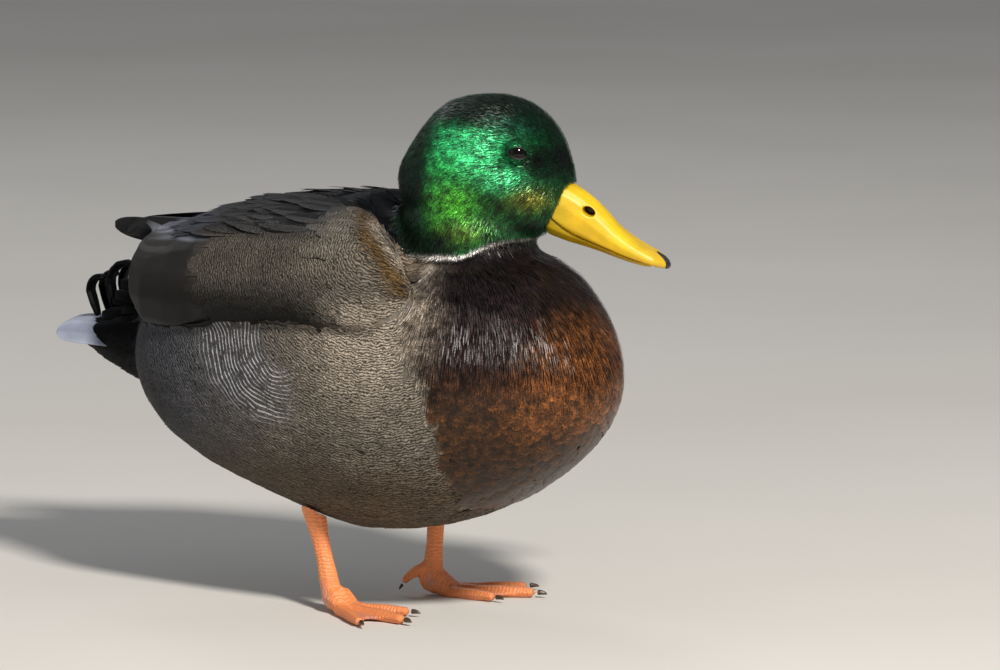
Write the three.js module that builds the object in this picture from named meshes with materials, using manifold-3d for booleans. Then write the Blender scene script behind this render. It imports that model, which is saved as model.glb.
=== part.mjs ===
// A drake mallard standing at rest, head drawn down on the breast and turned to its left.
// A still, life-size museum model. Millimetres, +Z up, +X the way the breast points, +Y the bird's left.
// The bird is modelled about a point on the floor midway between the feet, then the whole
// group is shifted so that the origin lies on the floor under the middle of its bounding box.
import * as THREE from "three";
import { mergeVertices } from "three/addons/utils/BufferGeometryUtils.js";
import Module from "manifold-3d";

const wasm = await Module();
wasm.setup();

// ---- driving dimensions -------------------------------------------------------------------

const seam = 0.35; // gap left between touching pieces
const culmen = 55; // bill, feather edge to tip; the drake's own measure, which sets the scale
const middleToe = 47; // toe root to claw root, the longest toe

const trunkLength = 242;
const trunkFront = 123; // x of the foremost point of the breast
const backHeight = 185; // z of the mantle
const bellyHeight = 33; // z of the lowest belly feathers
const trunkHalfWidth = 68;

const headPose = { x: 59, y: 2, z: 197, turn: 27 }; // middle of the head, and its turn to the left
const headHalfWidth = 27.5;
const eyeRadius = 5.2;
const eyeSeat = { x: 15.2, y: 20.4, z: 7.6 }; // centre of the right eye, mirrored for the left

const wingEnd = -102; // x where the near wing's tertials end
const farWingEnd = -150; // x of the tips of the other wing, which is carried further back
const tailTip = -172; // x of the end of the tail feathers
const tailSpread = 32; // degrees from the middle tail feather to the outermost

const footRight = { x: 0, y: -32, turn: -14 };
const footLeft = { x: 7, y: 32, turn: 23 };

// ---- colours and finishes -----------------------------------------------------------------

const finish = (color, roughness, metalness = 0) =>
  new THREE.MeshStandardMaterial({ color, roughness, metalness });
const greenHead = finish(0x0f5a36, 0.35, 0.4);
const whiteCollar = finish(0xd9d6cf, 0.7);
const greyBody = finish(0x8f8b84, 0.8);
const brownWing = finish(0x6b6258, 0.75);
const blackTail = finish(0x0c0c10, 0.5);
const whiteTail = finish(0xc9ccd6, 0.7);
const yellowBill = finish(0xe3bd0c, 0.35);
const blackHorn = finish(0x17161a, 0.3);
const darkEye = finish(0x120c08, 0.08);
const orangeLeg = finish(0xe0662a, 0.45);

// ---- small tools --------------------------------------------------------------------------

const rad = THREE.MathUtils.degToRad;
const vec = (x, y, z) => new THREE.Vector3(x, y, z);

// A geometry with its shared corners merged and its faces turned outwards.
function closed(geometry) {
  const bare = geometry.clone();
  for (const name of Object.keys(bare.attributes)) {
    if (name !== "position") bare.deleteAttribute(name);
  }
  const merged = mergeVertices(bare, 1e-4);
  const index = merged.index.array;
  const at = merged.attributes.position;
  const corner = [vec(), vec(), vec()];
  const kept = [];
  let volume = 0;
  for (let i = 0; i < index.length; i += 3) {
    const [a, b, c] = [index[i], index[i + 1], index[i + 2]];
    if (a === b || b === c || c === a) continue;
    kept.push(a, b, c);
    [a, b, c].forEach((v, k) => corner[k].fromBufferAttribute(at, v));
    volume += corner[0].dot(corner[1].cross(corner[2]));
  }
  if (volume < 0) kept.reverse();
  merged.setIndex(kept);
  return merged;
}

function solid(geometry) {
  const ready = closed(geometry);
  return new wasm.Manifold(
    new wasm.Mesh({
      numProp: 3,
      vertProperties: ready.attributes.position.array,
      triVerts: new Uint32Array(ready.index.array),
    }),
  );
}

function geometryOf(manifold) {
  const mesh = manifold.getMesh();
  const geometry = new THREE.BufferGeometry();
  geometry.setAttribute("position", new THREE.BufferAttribute(mesh.vertProperties, mesh.numProp));
  geometry.setIndex(new THREE.BufferAttribute(mesh.triVerts, 1));
  return geometry;
}

const cut = (body, ...tools) =>
  geometryOf(tools.reduce((left, tool) => left.subtract(solid(tool)), solid(body)));
const join = (...bodies) =>
  geometryOf(bodies.map(solid).reduce((all, one) => all.add(one)));
const common = (...bodies) =>
  geometryOf(bodies.map(solid).reduce((all, one) => all.intersect(one)));
const moved = (geometry, x, y, z) => geometry.clone().translate(x, y, z);
const mirrored = (geometry) => closed(geometry.clone().scale(1, -1, 1));

const superellipse = (value, power) => Math.sign(value) * Math.abs(value) ** (2 / power);

// A closed body drawn along a row of stations, each [x, y, z, wide, up, down]: the middle of a
// section and how far it reaches to the sides, upwards and downwards. The ends are rounded off
// over the shares `nose` and `tail` of the row. `power` above 2 squares the sections, `grow`
// adds to every reach, and `lean` is the direction that counts as up in a section. Sections
// stand square to the row, or square to `facing` where that is given; with `acrossBird` their
// width keeps to the y axis whichever way the row turns.
function loft(stations, options = {}) {
  const { along = 24, around = 24, nose = 0.2, tail = 0.2 } = options;
  const { power = 2, grow = 0, lean = vec(0, 0, 1), facing = null } = options;
  const { acrossBird = false } = options;
  const middle = new THREE.CatmullRomCurve3(
    stations.map(([x, y, z]) => vec(x, y, z)), false, "catmullrom", 0.5);
  const reach = new THREE.CatmullRomCurve3(
    stations.map(([, , , wide, up, down]) => vec(wide, up, down)), false, "catmullrom", 0.5);
  const ending = (share) => Math.sqrt(Math.max(0, 1 - (1 - Math.min(1, share)) ** 2));
  const geometry = new THREE.SphereGeometry(1, around, along);
  const at = geometry.attributes.position;
  const uv = geometry.attributes.uv;
  for (let i = 0; i < at.count; i++) {
    const row = Math.round((1 - uv.getY(i)) * along);
    const t = (1 - Math.cos((Math.PI * row) / along)) / 2;
    const turn = 2 * Math.PI * (Math.floor(i % (around + 1)) / around);
    const onEnd = row === 0 || row === along;
    const size = onEnd ? 0 : ending(t / nose) * ending((1 - t) / tail);
    const tangent = facing ?? middle.getTangent(Math.min(Math.max(t, 0.001), 0.999));
    const side = acrossBird ? vec(0, 1, 0) : lean.clone().cross(tangent).normalize();
    const up = tangent.clone().cross(side).normalize();
    const r = reach.getPoint(t).addScalar(grow);
    const across = superellipse(Math.cos(turn), power) * r.x * size;
    const high = superellipse(Math.sin(turn), power) * (Math.sin(turn) > 0 ? r.y : r.z) * size;
    const end = onEnd ? (row === 0 ? -grow : grow) : 0;
    const p = middle.getPoint(t).addScaledVector(tangent, end);
    p.addScaledVector(side, across).addScaledVector(up, high);
    at.setXYZ(i, p.x, p.y, p.z);
  }
  return closed(geometry);
}

// A prism: an outline in the x-z plane, carried across the bird from y = from to y = to.
function sidePrism(points, from, to) {
  const outline = new THREE.Shape(points.map(([x, z]) => new THREE.Vector2(x, z)));
  return closed(new THREE.ExtrudeGeometry(outline, { depth: to - from, bevelEnabled: false })
    .rotateX(Math.PI / 2).translate(0, to, 0));
}

// A prism: an outline in the x-y plane, carried up from z = from to z = to.
function planPrism(points, from, to) {
  const outline = new THREE.Shape(points.map(([x, y]) => new THREE.Vector2(x, y)));
  return closed(new THREE.ExtrudeGeometry(outline, { depth: to - from, bevelEnabled: false })
    .translate(0, 0, from));
}

// The points of a smooth line through a few given ones.
function smoothLine(points, steps = 14) {
  const line = new THREE.SplineCurve(points.map(([x, y]) => new THREE.Vector2(x, y)));
  return line.getPoints(steps).map((p) => [p.x, p.y]);
}

// A thin fan: `shape(u, v)` gives the middle of its thickness, u across from -1 to 1 and v
// outwards from 0 to 1, with its half thickness as the fourth number.
function fan(shape, columns, rows) {
  const geometry = new THREE.BoxGeometry(2, 1, 2, columns, rows, 1);
  const at = geometry.attributes.position;
  for (let i = 0; i < at.count; i++) {
    const [x, y, z, half] = shape(at.getX(i), at.getY(i) + 0.5);
    at.setXYZ(i, x, y, z + half * at.getZ(i));
  }
  return closed(geometry);
}

function piece(name, geometry, material) {
  const mesh = new THREE.Mesh(geometry, material);
  mesh.name = name;
  return mesh;
}

// ---- trunk --------------------------------------------------------------------------------

// A station of the trunk from its top and bottom heights and half width.
const rib = (x, top, bottom, wide) => {
  const middle = bottom + 0.48 * (top - bottom);
  return [x, 0, middle, wide, top - middle, middle - bottom];
};

const rump = trunkFront - trunkLength;
const ahead = vec(1, 0, 0);
function trunkShape(grow = 0) {
  return loft([
    rib(rump, 146, 76, 55),
    rib(rump + 0.17 * trunkLength, backHeight - 31, bellyHeight + 25, trunkHalfWidth - 6),
    rib(rump + 0.34 * trunkLength, backHeight - 13, bellyHeight + 10, trunkHalfWidth - 2),
    rib(rump + 0.51 * trunkLength, backHeight, bellyHeight, trunkHalfWidth),
    rib(rump + 0.67 * trunkLength, backHeight - 19, bellyHeight + 5, trunkHalfWidth),
    rib(rump + 0.84 * trunkLength, backHeight - 14, bellyHeight + 14, trunkHalfWidth - 3),
    rib(trunkFront, backHeight - 24, bellyHeight + 22, trunkHalfWidth - 10),
  ], { along: 20, around: 24, nose: 0.2, tail: 0.36, power: 2.1, facing: ahead, grow });
}

// ---- neck and head ------------------------------------------------------------------------

// The neck is folded down behind the breast, so only its upper end shows.
function neckShape(grow = 0) {
  return loft([
    [48, -1, 128, 28, 28, 24],
    [48, -1, 146, 31, 32, 28],
    [50, 0, 163, 30.5, 33, 29],
    [53, 0, 182, 28.5, 33, 27],
    [56, 1, 200, 22, 28, 22],
  ], { along: 10, around: 20, nose: 0.35, tail: 0.35, grow, lean: vec(-1, 0, 0) });
}

const headPlace = new THREE.Matrix4().makeRotationZ(rad(headPose.turn));
headPlace.setPosition(headPose.x, headPose.y, headPose.z);
const intoHead = (geometry) => geometry.clone().applyMatrix4(headPlace.clone().invert());
const outOfHead = (geometry) => geometry.clone().applyMatrix4(headPlace);

// Head frame: the middle of the head, x the way the bill points seen from above.
function skullShape(grow = 0) {
  return loft([
    [-40.5, 0, -5, 19, 19, 28],
    [-24, 0, -3, 25.5, 30, 31.5],
    [-8, 0, -1, headHalfWidth, 32.5, 33],
    [8, 0, -1, headHalfWidth - 1.5, 33, 32],
    [21, 0, -4, 21.5, 31.5, 27.5],
    [31, 0, -8.5, 14.5, 26.5, 20],
    [39.5, 0, -13.5, 9.5, 16.5, 11],
  ], { along: 18, around: 22, nose: 0.3, tail: 0.16, power: 2.1, facing: ahead, grow });
}

// The bill as one body, mandibles together, broad and flat towards the tip.
function billShape(grow = 0) {
  const unit = culmen / 57;
  const at = (x, z, wide, up, down) => [32 + (x - 32) * unit, 0, z, wide, up, down];
  return loft([
    at(24, -11.5, 11.2, 9, 16),
    at(34, -16.5, 10.8, 9.8, 15.7),
    at(44, -23, 10.2, 9, 13.1),
    at(54, -30.3, 10, 6.6, 8.3),
    at(64, -35.6, 11, 5, 6.3),
    at(73, -39.4, 11.2, 3.9, 4.6),
    at(81, -42.8, 9.5, 3.2, 3.7),
  ], { along: 16, around: 16, nose: 0.05, tail: 0.16, power: 2.4, grow });
}

// The line where the mandibles meet, seen from the side, and all that lies below it.
const gapeLine = smoothLine([
  [18, -15.5], [27, -20.5], [33, -25.6], [39, -29.2], [47, -32.6], [58, -37], [68, -40.4],
  [90, -47.4],
]);
const belowGape = (shift) =>
  sidePrism([...gapeLine.map(([x, z]) => [x, z + shift]), [90, -80], [18, -80]], -20, 20);

// The feather edge of the bill seen from the side: up from the gape to a lobe on the forehead.
const billBase = [
  [100, 20], [100, -60], [30, -60], [25.5, -26], [26.5, -20.5], [31.5, -13.5], [34.5, -6],
  [35.5, -2], [37, 0], [60, 20],
];

// The nail, the hard black tip of the upper mandible.
const nailPart = planPrism(
  smoothLine([[95, -8], [84, -6.4], [76, -4.4], [72.5, 0], [76, 4.4], [84, 6.4], [95, 8]]),
  -80, 0);
const nostril = loft([
  [44.5, -20, -18.4, 3, 1.9, 1.9], [44.5, 0, -18.4, 3, 1.9, 1.9], [44.5, 20, -18.4, 3, 1.9, 1.9],
], { along: 4, around: 12, nose: 0.01, tail: 0.01, lean: vec(0.5, 0, 0.86) });

const bill = common(billShape(), sidePrism(billBase, -20, 20));
const upperMandible = cut(bill, belowGape(seam / 2));
const upperBill = cut(upperMandible, nailPart, nostril);
const nailTrim = planPrism(
  smoothLine([[95, -7.6], [84, -6], [76.3, -4], [73, 0], [76.3, 4], [84, 6], [95, 7.6]]),
  -80, 0);
const billNail = common(upperMandible, nailTrim);
const lowerPlan = planPrism(
  smoothLine([[10, -14], [56, -10], [66, -8], [71, 0], [66, 8], [56, 10], [10, 14]]), -80, 0);
const lowerBill = common(
  billShape(-0.7), sidePrism(billBase, -20, 20), belowGape(-seam / 2), lowerPlan);

const eyeBall = (side, grow = 0) =>
  new THREE.SphereGeometry(eyeRadius + grow, 12, 8)
    .translate(eyeSeat.x, side * eyeSeat.y, eyeSeat.z);

// The green plumage ends on the line of the collar; the neck carries on below it.
const headSplit = (shift) =>
  sidePrism([[-30, 158 + shift], [140, 164 + shift], [140, 60], [-30, 60]], -90, 90);
const headAndNeck = join(outOfHead(skullShape()), neckShape());
const billSocket = common(billShape(seam), sidePrism(billBase.map(([x, z]) => [x - seam, z]), -20, 20));

const head = cut(
  intoHead(cut(headAndNeck, headSplit(seam / 2))),
  billSocket, eyeBall(-1, seam), eyeBall(1, seam));
const neck = cut(common(headAndNeck, headSplit(-seam / 2)), outOfHead(billSocket));
const neckSocket = join(neckShape(seam), outOfHead(skullShape(seam)));

// ---- wings --------------------------------------------------------------------------------

// The folded wings and shoulder feathers wrap the back as a shell.
function wingShell(grow = 0) {
  return loft([
    [farWingEnd, 0, 136, 30, 25, 24],
    [-130, 0, 136, 39, 28, 26],
    [-105, 0, 136, 49, 28.5, 27],
    [-86, 0, 136, 60, 31.5, 30],
    [-64, 0, 136, 66, 40.5, 34],
    [-38, 0, 136, 69, 45.5, 36],
    [-8, 0, 136, 71, 47.5, 38],
    [22, 0, 136, 71, 48.5, 40],
    [48, 0, 136, 69, 46, 40],
    [72, 0, 134, 64, 36, 34],
  ], { along: 18, around: 24, nose: 0.06, tail: 0.2, power: 2.3, facing: ahead, grow });
}

// One wing as seen from above, from its inner edge near the spine outwards.
const wingPlan = planPrism([
  [70, -95], [64, -54], [44, -43], [18, -32], [-16, -15], [-56, -5], [-104, -6],
  [farWingEnd - 5, -7], [farWingEnd - 5, -95],
], 60, 220);

// The lower edge and the slanting front edge that both wings share, from the side.
const wingFront = smoothLine([[-70, 124], [-44, 127], [-12, 132], [18, 131], [44, 131], [58, 140],
  [57, 153], [44, 167], [22, 180], [0, 196]]);
const nearWingSide = sidePrism([
  ...smoothLine([[wingEnd - 4, 190], [wingEnd - 3, 166], [wingEnd + 1, 148],
    [wingEnd + 5, 135], [-86, 124]], 7), ...wingFront,
], -95, 0);
const farWingSide = sidePrism([
  ...smoothLine([[farWingEnd + 18, 205], [farWingEnd - 1, 165], [farWingEnd - 3, 160],
    [farWingEnd + 9, 150], [farWingEnd + 26, 140], [-88, 124]], 9), ...wingFront,
], -95, 0);

const trunkCut = join(trunkShape(seam), outOfHead(skullShape(seam)));
const behindRump = planPrism([[-200, -90], [-112, -90], [-112, 90], [-200, 90]], 0, 220);
const underWing = common(wingShell(-5), behindRump);
const wingRight = cut(common(wingShell(), wingPlan, nearWingSide), trunkCut);
const wingLeft = cut(
  mirrored(common(wingShell(), wingPlan, farWingSide)), trunkCut, underWing, tailRoot(seam));

// ---- tail ---------------------------------------------------------------------------------

// The coverts above and below the tail, a black cone behind the rump.
function tailRoot(grow = 0) {
  return loft([
    [-88, 0, 114, 36, 30, 40],
    [-112, 0, 114, 33, 20, 29],
    [-134, 0, 114, 27, 8, 22],
    [-152, 0, 114, 19, 4, 13],
    [-160, 0, 113.5, 14, 3, 8],
  ], { along: 9, around: 16, nose: 0.1, tail: 0.14, facing: vec(-1, 0, 0), grow });
}

// The tail feathers as one arched fan, longest in the middle; its end steps from tip to tip.
const tailFeathers = 9;
function tailFan(grow = 0) {
  const columns = grow > 0 ? 6 : 2 * tailFeathers;
  return fan((u, v) => {
    const angle = rad(tailSpread) * u;
    const atTip = grow === 0 && v > 0.9 && Math.round((u + 1) * tailFeathers) % 2 === 1;
    const longest = -tailTip - 70;
    const reach = 40 + v * (longest - 40 - 36 * Math.abs(u) ** 1.6) + (atTip ? 2 : 0);
    const x = -70 - (reach + (v - 0.5) * 2 * grow) * Math.cos(angle);
    const y = -reach * Math.sin(angle) - u * grow;
    return [x, y, 115.5 - 7 * u * u * (0.4 + 0.6 * v), 1.2 - 0.6 * v + grow];
  }, columns, 3);
}

// A curled central covert: a ribbon that rises from the tail and rolls forward over itself.
function curl({ root, ring, radius, sweep, y, lean }) {
  const stations = [[root[0], y, root[1], 2.4, 1.2, 1.2]];
  const steps = 8;
  for (let i = 0; i <= steps; i++) {
    const share = i / steps;
    const angle = rad(195 - sweep * share);
    const r = radius * (1 - 0.3 * share);
    stations.push([
      ring[0] + r * Math.cos(angle), y + lean * share, ring[1] + r * Math.sin(angle),
      3 - 0.8 * share, 1.3, 1.1,
    ]);
  }
  return loft(stations, {
    along: 13, around: 6, nose: 0.05, tail: 0.1, power: 2.4, lean: vec(0.3, 0, 1), acrossBird: true,
  });
}
const curls = {
  curl_rear_right: { root: [-153, 117], ring: [-150.5, 130], radius: 7, sweep: 125, y: -3.6, lean: -1 },
  curl_rear_left: { root: [-152, 117], ring: [-149.5, 131.5], radius: 6.6, sweep: 120, y: 3.6, lean: 0.4 },
  curl_front_right: { root: [-143, 120], ring: [-135.5, 134], radius: 10.3, sweep: 195, y: -3.8, lean: -1 },
  curl_front_left: { root: [-142, 120], ring: [-135, 134], radius: 9.8, sweep: 200, y: 3.4, lean: 0 },
};

// ---- legs and feet ------------------------------------------------------------------------

// Toes in the foot's own frame: the toe root on the z axis, x the way the middle toe points.
const toes = {
  inner: { turn: 27, length: 0.76 * middleToe, thick: 3.1 },
  middle: { turn: 0, length: middleToe, thick: 3.4 },
  outer: { turn: -25, length: 0.93 * middleToe, thick: 3.1 },
};
const soleHeight = 2.4; // height of a toe's middle, so that its underside is a narrow flat

function toe({ turn, length, thick }) {
  const stations = [];
  const steps = 8;
  for (let i = 0; i <= steps; i++) {
    const share = i / steps;
    const knuckle = 1 + 0.1 * Math.cos(2 * Math.PI * 3 * share);
    const radius = thick * (1.15 - 0.4 * share) * knuckle;
    const height = soleHeight + 4.5 * Math.max(0, 0.25 - share) / 0.25;
    stations.push([-3 + (length + 3) * share, 0, height, radius * 1.1, radius, radius]);
  }
  return loft(stations, { along: 8, around: 6, nose: 0.1, tail: 0.08 }).rotateZ(rad(turn));
}

// A claw carries on from the end of its toe and bends down to the ground.
function claw(length, thick, height) {
  return loft([
    [-0.5, 0, height, thick, thick, thick],
    [0.5 * length, 0, height - 0.1, 0.75 * thick, 0.8 * thick, 0.7 * thick],
    [length, 0, height - 0.5 * thick, 0.3 * thick, 0.3 * thick, 0.3 * thick],
  ], { along: 5, around: 6, nose: 0.1, tail: 0.3 });
}

// The two webs, one thin sheet from the inner toe to the outer, its edge hanging in two bays.
function webSheet() {
  const spread = rad(toes.inner.turn - toes.outer.turn);
  const first = rad(toes.outer.turn);
  return fan((u, v) => {
    const share = (u + 1) / 2;
    const side = share > 0.5 ? (share - 0.5) * 2 : share * 2;
    const [from, to] = share > 0.5 ? [toes.middle, toes.inner] : [toes.outer, toes.middle];
    const edge = from.length + (to.length - from.length) * side - 13 * Math.sin(Math.PI * side);
    const reach = 6 + v * (edge - 8);
    const angle = first + share * spread;
    return [reach * Math.cos(angle), reach * Math.sin(angle), 1.7 + 1.2 * (1 - v), 0.75];
  }, 8, 2);
}

const hallux = loft([
  [-1, 2, 14, 2.6, 2.8, 2.8], [-6, 3, 11.5, 2.4, 2.6, 2.6], [-10.5, 4, 8, 2, 2.2, 2.2],
  [-12.5, 4.5, 5.4, 1.6, 1.6, 1.6],
], { along: 5, around: 6, nose: 0.1, tail: 0.12 });

const ankleHeight = 13.5;
const floorBlock = new THREE.BoxGeometry(300, 300, 40).translate(0, 0, -20);
const ball = loft([
  [-6, 0, 5, 4.5, 3.8, 5], [0, 0, 7, 6.2, 7, 7], [6, 0, 5.2, 7, 4.2, 5.2], [12, 0, 3.6, 6.5, 2.6, 3.6],
], { along: 6, around: 8, nose: 0.2, tail: 0.2 });

// The shank from the toe root up to the hock, flat-sided and thicker at both joints.
function shankShape(foot, top, grow = 0) {
  const [x, y, z] = top;
  const at = (share, wide, up, down) => [
    foot.x + (x - foot.x) * share, foot.y + (y - foot.y) * share, 3 + (z - 3) * share,
    wide, up, down];
  return loft([
    at(0.0, 4.6, 5, 5), at(0.22, 4.2, 5.2, 4.6), at(0.45, 3.4, 4.2, 4.0), at(0.68, 3.4, 4.4, 4.2),
    at(0.88, 4.3, 5.6, 5.2), at(1.08, 5.4, 6.6, 6.4), at(1.3, 6.6, 8, 8),
  ], { along: 10, around: 9, nose: 0.1, tail: 0.15, lean: vec(-1, 0, 0), grow });
}

const footParts = (side) => {
  const turned = (geometry) => (side < 0 ? geometry : mirrored(geometry));
  const all = join(...Object.values(toes).map(toe), webSheet(), ball, hallux);
  return turned(cut(all, floorBlock));
};

// ---- assembly -----------------------------------------------------------------------------

const duck = new THREE.Group();
duck.add(piece("trunk", cut(trunkShape(), neckSocket), greyBody));
duck.add(piece("neck", neck, whiteCollar));
duck.add(piece("wing_right", wingRight, brownWing));
duck.add(piece("wing_left", wingLeft, brownWing));
duck.add(piece("tail_coverts", cut(tailRoot(), trunkCut, tailFan(seam)), blackTail));
duck.add(piece("tail_fan", cut(tailFan(), trunkCut), whiteTail));
for (const [name, sizes] of Object.entries(curls)) {
  duck.add(piece(name, cut(curl(sizes), tailRoot(seam), tailFan(seam)), blackTail));
}

const headGroup = new THREE.Group();
headGroup.applyMatrix4(headPlace);
headGroup.add(piece("head", head, greenHead));
headGroup.add(piece("bill_upper", upperBill, yellowBill));
headGroup.add(piece("bill_lower", lowerBill, yellowBill));
headGroup.add(piece("bill_nail", billNail, blackHorn));
headGroup.add(piece("eye_right", eyeBall(-1), darkEye));
headGroup.add(piece("eye_left", eyeBall(1), darkEye));
duck.add(headGroup);

// A leg: the shank runs from the foot up into the belly feathers; the foot keeps its own frame.
function addLeg(sideName, side, foot, hock) {
  const place = new THREE.Matrix4().makeRotationZ(rad(foot.turn));
  place.setPosition(foot.x, foot.y, 0);
  const ankle = sidePrism([[-60, ankleHeight], [60, ankleHeight], [60, -20], [-60, -20]], -90, 90);
  const whole = join(footParts(side).applyMatrix4(place), shankShape(foot, hock));
  const sole = common(whole, moved(ankle, 0, 0, -seam / 2));
  const shank = cut(whole, moved(ankle, 0, 0, seam / 2), trunkShape(seam));

  const group = new THREE.Group();
  group.applyMatrix4(place);
  const own = sole.clone().applyMatrix4(place.clone().invert());
  group.add(piece(`foot_${sideName}`, own, orangeLeg));
  const addClaw = (name, shape) => {
    const handed = side < 0 ? shape : mirrored(shape);
    group.add(piece(`claw_${sideName}_${name}`, cut(handed, floorBlock), blackHorn));
  };
  for (const [name, { turn, length, thick }] of Object.entries(toes)) {
    const middle = claw(6.5, 0.62 * thick, soleHeight + 0.1);
    addClaw(name, middle.translate(length + 0.85, 0, 0).rotateZ(rad(turn)));
  }
  const backClaw = claw(4.2, 1.3, 0).rotateY(rad(50)).rotateZ(rad(166));
  addClaw("back", backClaw.translate(-12.9, 4.6, 4.9));
  duck.add(group);
  duck.add(piece(`leg_${sideName}`, shank, orangeLeg));
}
addLeg("right", -1, footRight, [-10.5, -33, 46]);
addLeg("left", 1, footLeft, [10.5, 31, 46]);

// Put the origin on the floor under the middle of the bird.
duck.updateMatrixWorld(true);
const box = new THREE.Box3().setFromObject(duck, true);
duck.position.set(-(box.min.x + box.max.x) / 2, -(box.min.y + box.max.y) / 2, -box.min.z);

export default duck;
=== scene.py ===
import math

import bmesh
import bpy
import numpy as np
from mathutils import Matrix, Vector
from mathutils.bvhtree import BVHTree


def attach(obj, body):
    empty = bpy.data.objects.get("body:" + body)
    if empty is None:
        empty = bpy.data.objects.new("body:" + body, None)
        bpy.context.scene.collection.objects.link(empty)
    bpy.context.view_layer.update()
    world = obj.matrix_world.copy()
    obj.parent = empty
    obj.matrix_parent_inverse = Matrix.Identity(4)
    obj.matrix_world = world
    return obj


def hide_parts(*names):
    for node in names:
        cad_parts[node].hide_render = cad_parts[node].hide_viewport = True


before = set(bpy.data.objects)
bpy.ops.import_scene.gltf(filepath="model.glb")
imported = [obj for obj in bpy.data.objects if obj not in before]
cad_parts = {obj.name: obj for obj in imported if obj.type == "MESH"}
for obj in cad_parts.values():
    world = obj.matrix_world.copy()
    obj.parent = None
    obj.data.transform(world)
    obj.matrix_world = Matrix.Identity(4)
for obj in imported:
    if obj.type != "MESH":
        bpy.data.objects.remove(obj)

bpy.context.view_layer.update()
mm = 0.001
thin = 1.0  # spacing of the coat while trying things


def linear(hexColour):
    parts = [int(hexColour[i:i + 2], 16) / 255 for i in (1, 3, 5)]
    return np.array([p / 12.92 if p <= 0.04045 else ((p + 0.055) / 1.055) ** 2.4 for p in parts])


def soft(low, high, value):
    t = np.clip((value - low) / (high - low), 0, 1)
    return t * t * (3 - 2 * t)


def unit(rows):
    return rows / np.maximum(np.linalg.norm(rows, axis=-1, keepdims=True), 1e-9)


# One node with its settings and links, and a colour ramp's stops; gives back the socket asked for.
def addNode(tree, kind, inputs=None, output=0, stops=(), **settings):
    node = tree.nodes.new("ShaderNode" + kind)
    for name, value in settings.items():
        setattr(node, name, value)
    for name, value in (inputs or {}).items():
        if isinstance(value, bpy.types.NodeSocket):
            tree.links.new(value, node.inputs[name])
        else:
            node.inputs[name].default_value = value
    if stops:
        elements = node.color_ramp.elements
        while len(elements) < len(stops):
            elements.new(0.5)
        for element, (place, value) in zip(elements, stops):
            element.position = place
            element.color = (value, value, value, 1) if np.isscalar(value) else (*value, 1)
    return node.outputs[output]


tinted = {"output": "Color", "attribute_name": "tint"}
blended = {"output": 2, "data_type": "RGBA"}
times = dict(blended, blend_type="MULTIPLY")


def newMaterial(name, **sockets):
    made = bpy.data.materials.new(name)
    made.use_nodes = True
    tree = made.node_tree
    shader = tree.nodes["Principled BSDF"]
    for key, value in sockets.items():
        shader.inputs[key.replace("_", " ")].default_value = value
    return made, tree, shader, addNode(tree, "TexCoord", output="Object")


def connect(shader, **sockets):
    for key, value in sockets.items():
        shader.id_data.links.new(value, shader.inputs[key.replace("_", " ")])


# A colour made darker and lighter by noise, whose size is one metre over the scale; gives back both.
def clouded(tree, coords, colour, scale, detail, stops):
    clouds = addNode(tree, "TexNoise", {"Vector": coords, "Scale": scale, "Detail": detail})
    shade = addNode(tree, "ValToRGB", {"Fac": clouds}, stops=stops)
    return addNode(tree, "Mix", {0: 1.0, 6: colour, 7: shade}, **times), clouds


# Waves along a field, both in mm, shaken by something else.
def waves(tree, field, pitch, shift, amount):
    moved = addNode(tree, "Math", {0: shift, 1: amount, 2: field}, operation="MULTIPLY_ADD")
    turned = addNode(tree, "Math", {0: moved, 1: 2 * math.pi / pitch}, operation="MULTIPLY")
    return addNode(tree, "Math", {0: turned}, operation="SINE")


# Barbs run out from the shaft at about 45 degrees; the piece's own map is in mm.
def barbRidges(tree, slope, pitch):
    split = addNode(tree, "SeparateXYZ", {"Vector": addNode(tree, "UVMap", uv_map="barbs")}).node
    side = addNode(tree, "Math", {0: split.outputs["X"]}, operation="ABSOLUTE")
    return waves(tree, split.outputs["Y"], pitch, side, -slope)


# Feather keratin: melanin rods under a thin clear film turn white light green on the head.
# The eye sees a dark body colour with a bright, rather tight sheen that breaks up barb by barb.
def glossFeather(name, metallic, roughness, specular, sheenTint):
    made, tree, shader, coords = newMaterial(
        name, Metallic=metallic, IOR=1.5, Specular_IOR_Level=specular, Sheen_Weight=0.15 * specular,
        Sheen_Tint=(*sheenTint, 1))
    tint = addNode(tree, "Attribute", **tinted)
    patchy, patches = clouded(tree, coords, tint, 260, 4, [(0.3, 0.25), (0.5, 0.85), (0.7, 1.7)])  # 4 mm
    colour, barbs = clouded(tree, coords, patchy, 1500, 2, [(0.35, 0.35), (0.65, 1.7)])  # 0.7 mm
    rough = addNode(tree, "MapRange", {
        "Value": patches, "To Min": roughness - 0.08, "To Max": roughness + 0.1})
    bump = addNode(tree, "Bump", {"Strength": 0.35, "Distance": 0.00015, "Height": barbs})
    connect(shader, Base_Color=colour, Roughness=rough, Normal=bump)
    return made


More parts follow.
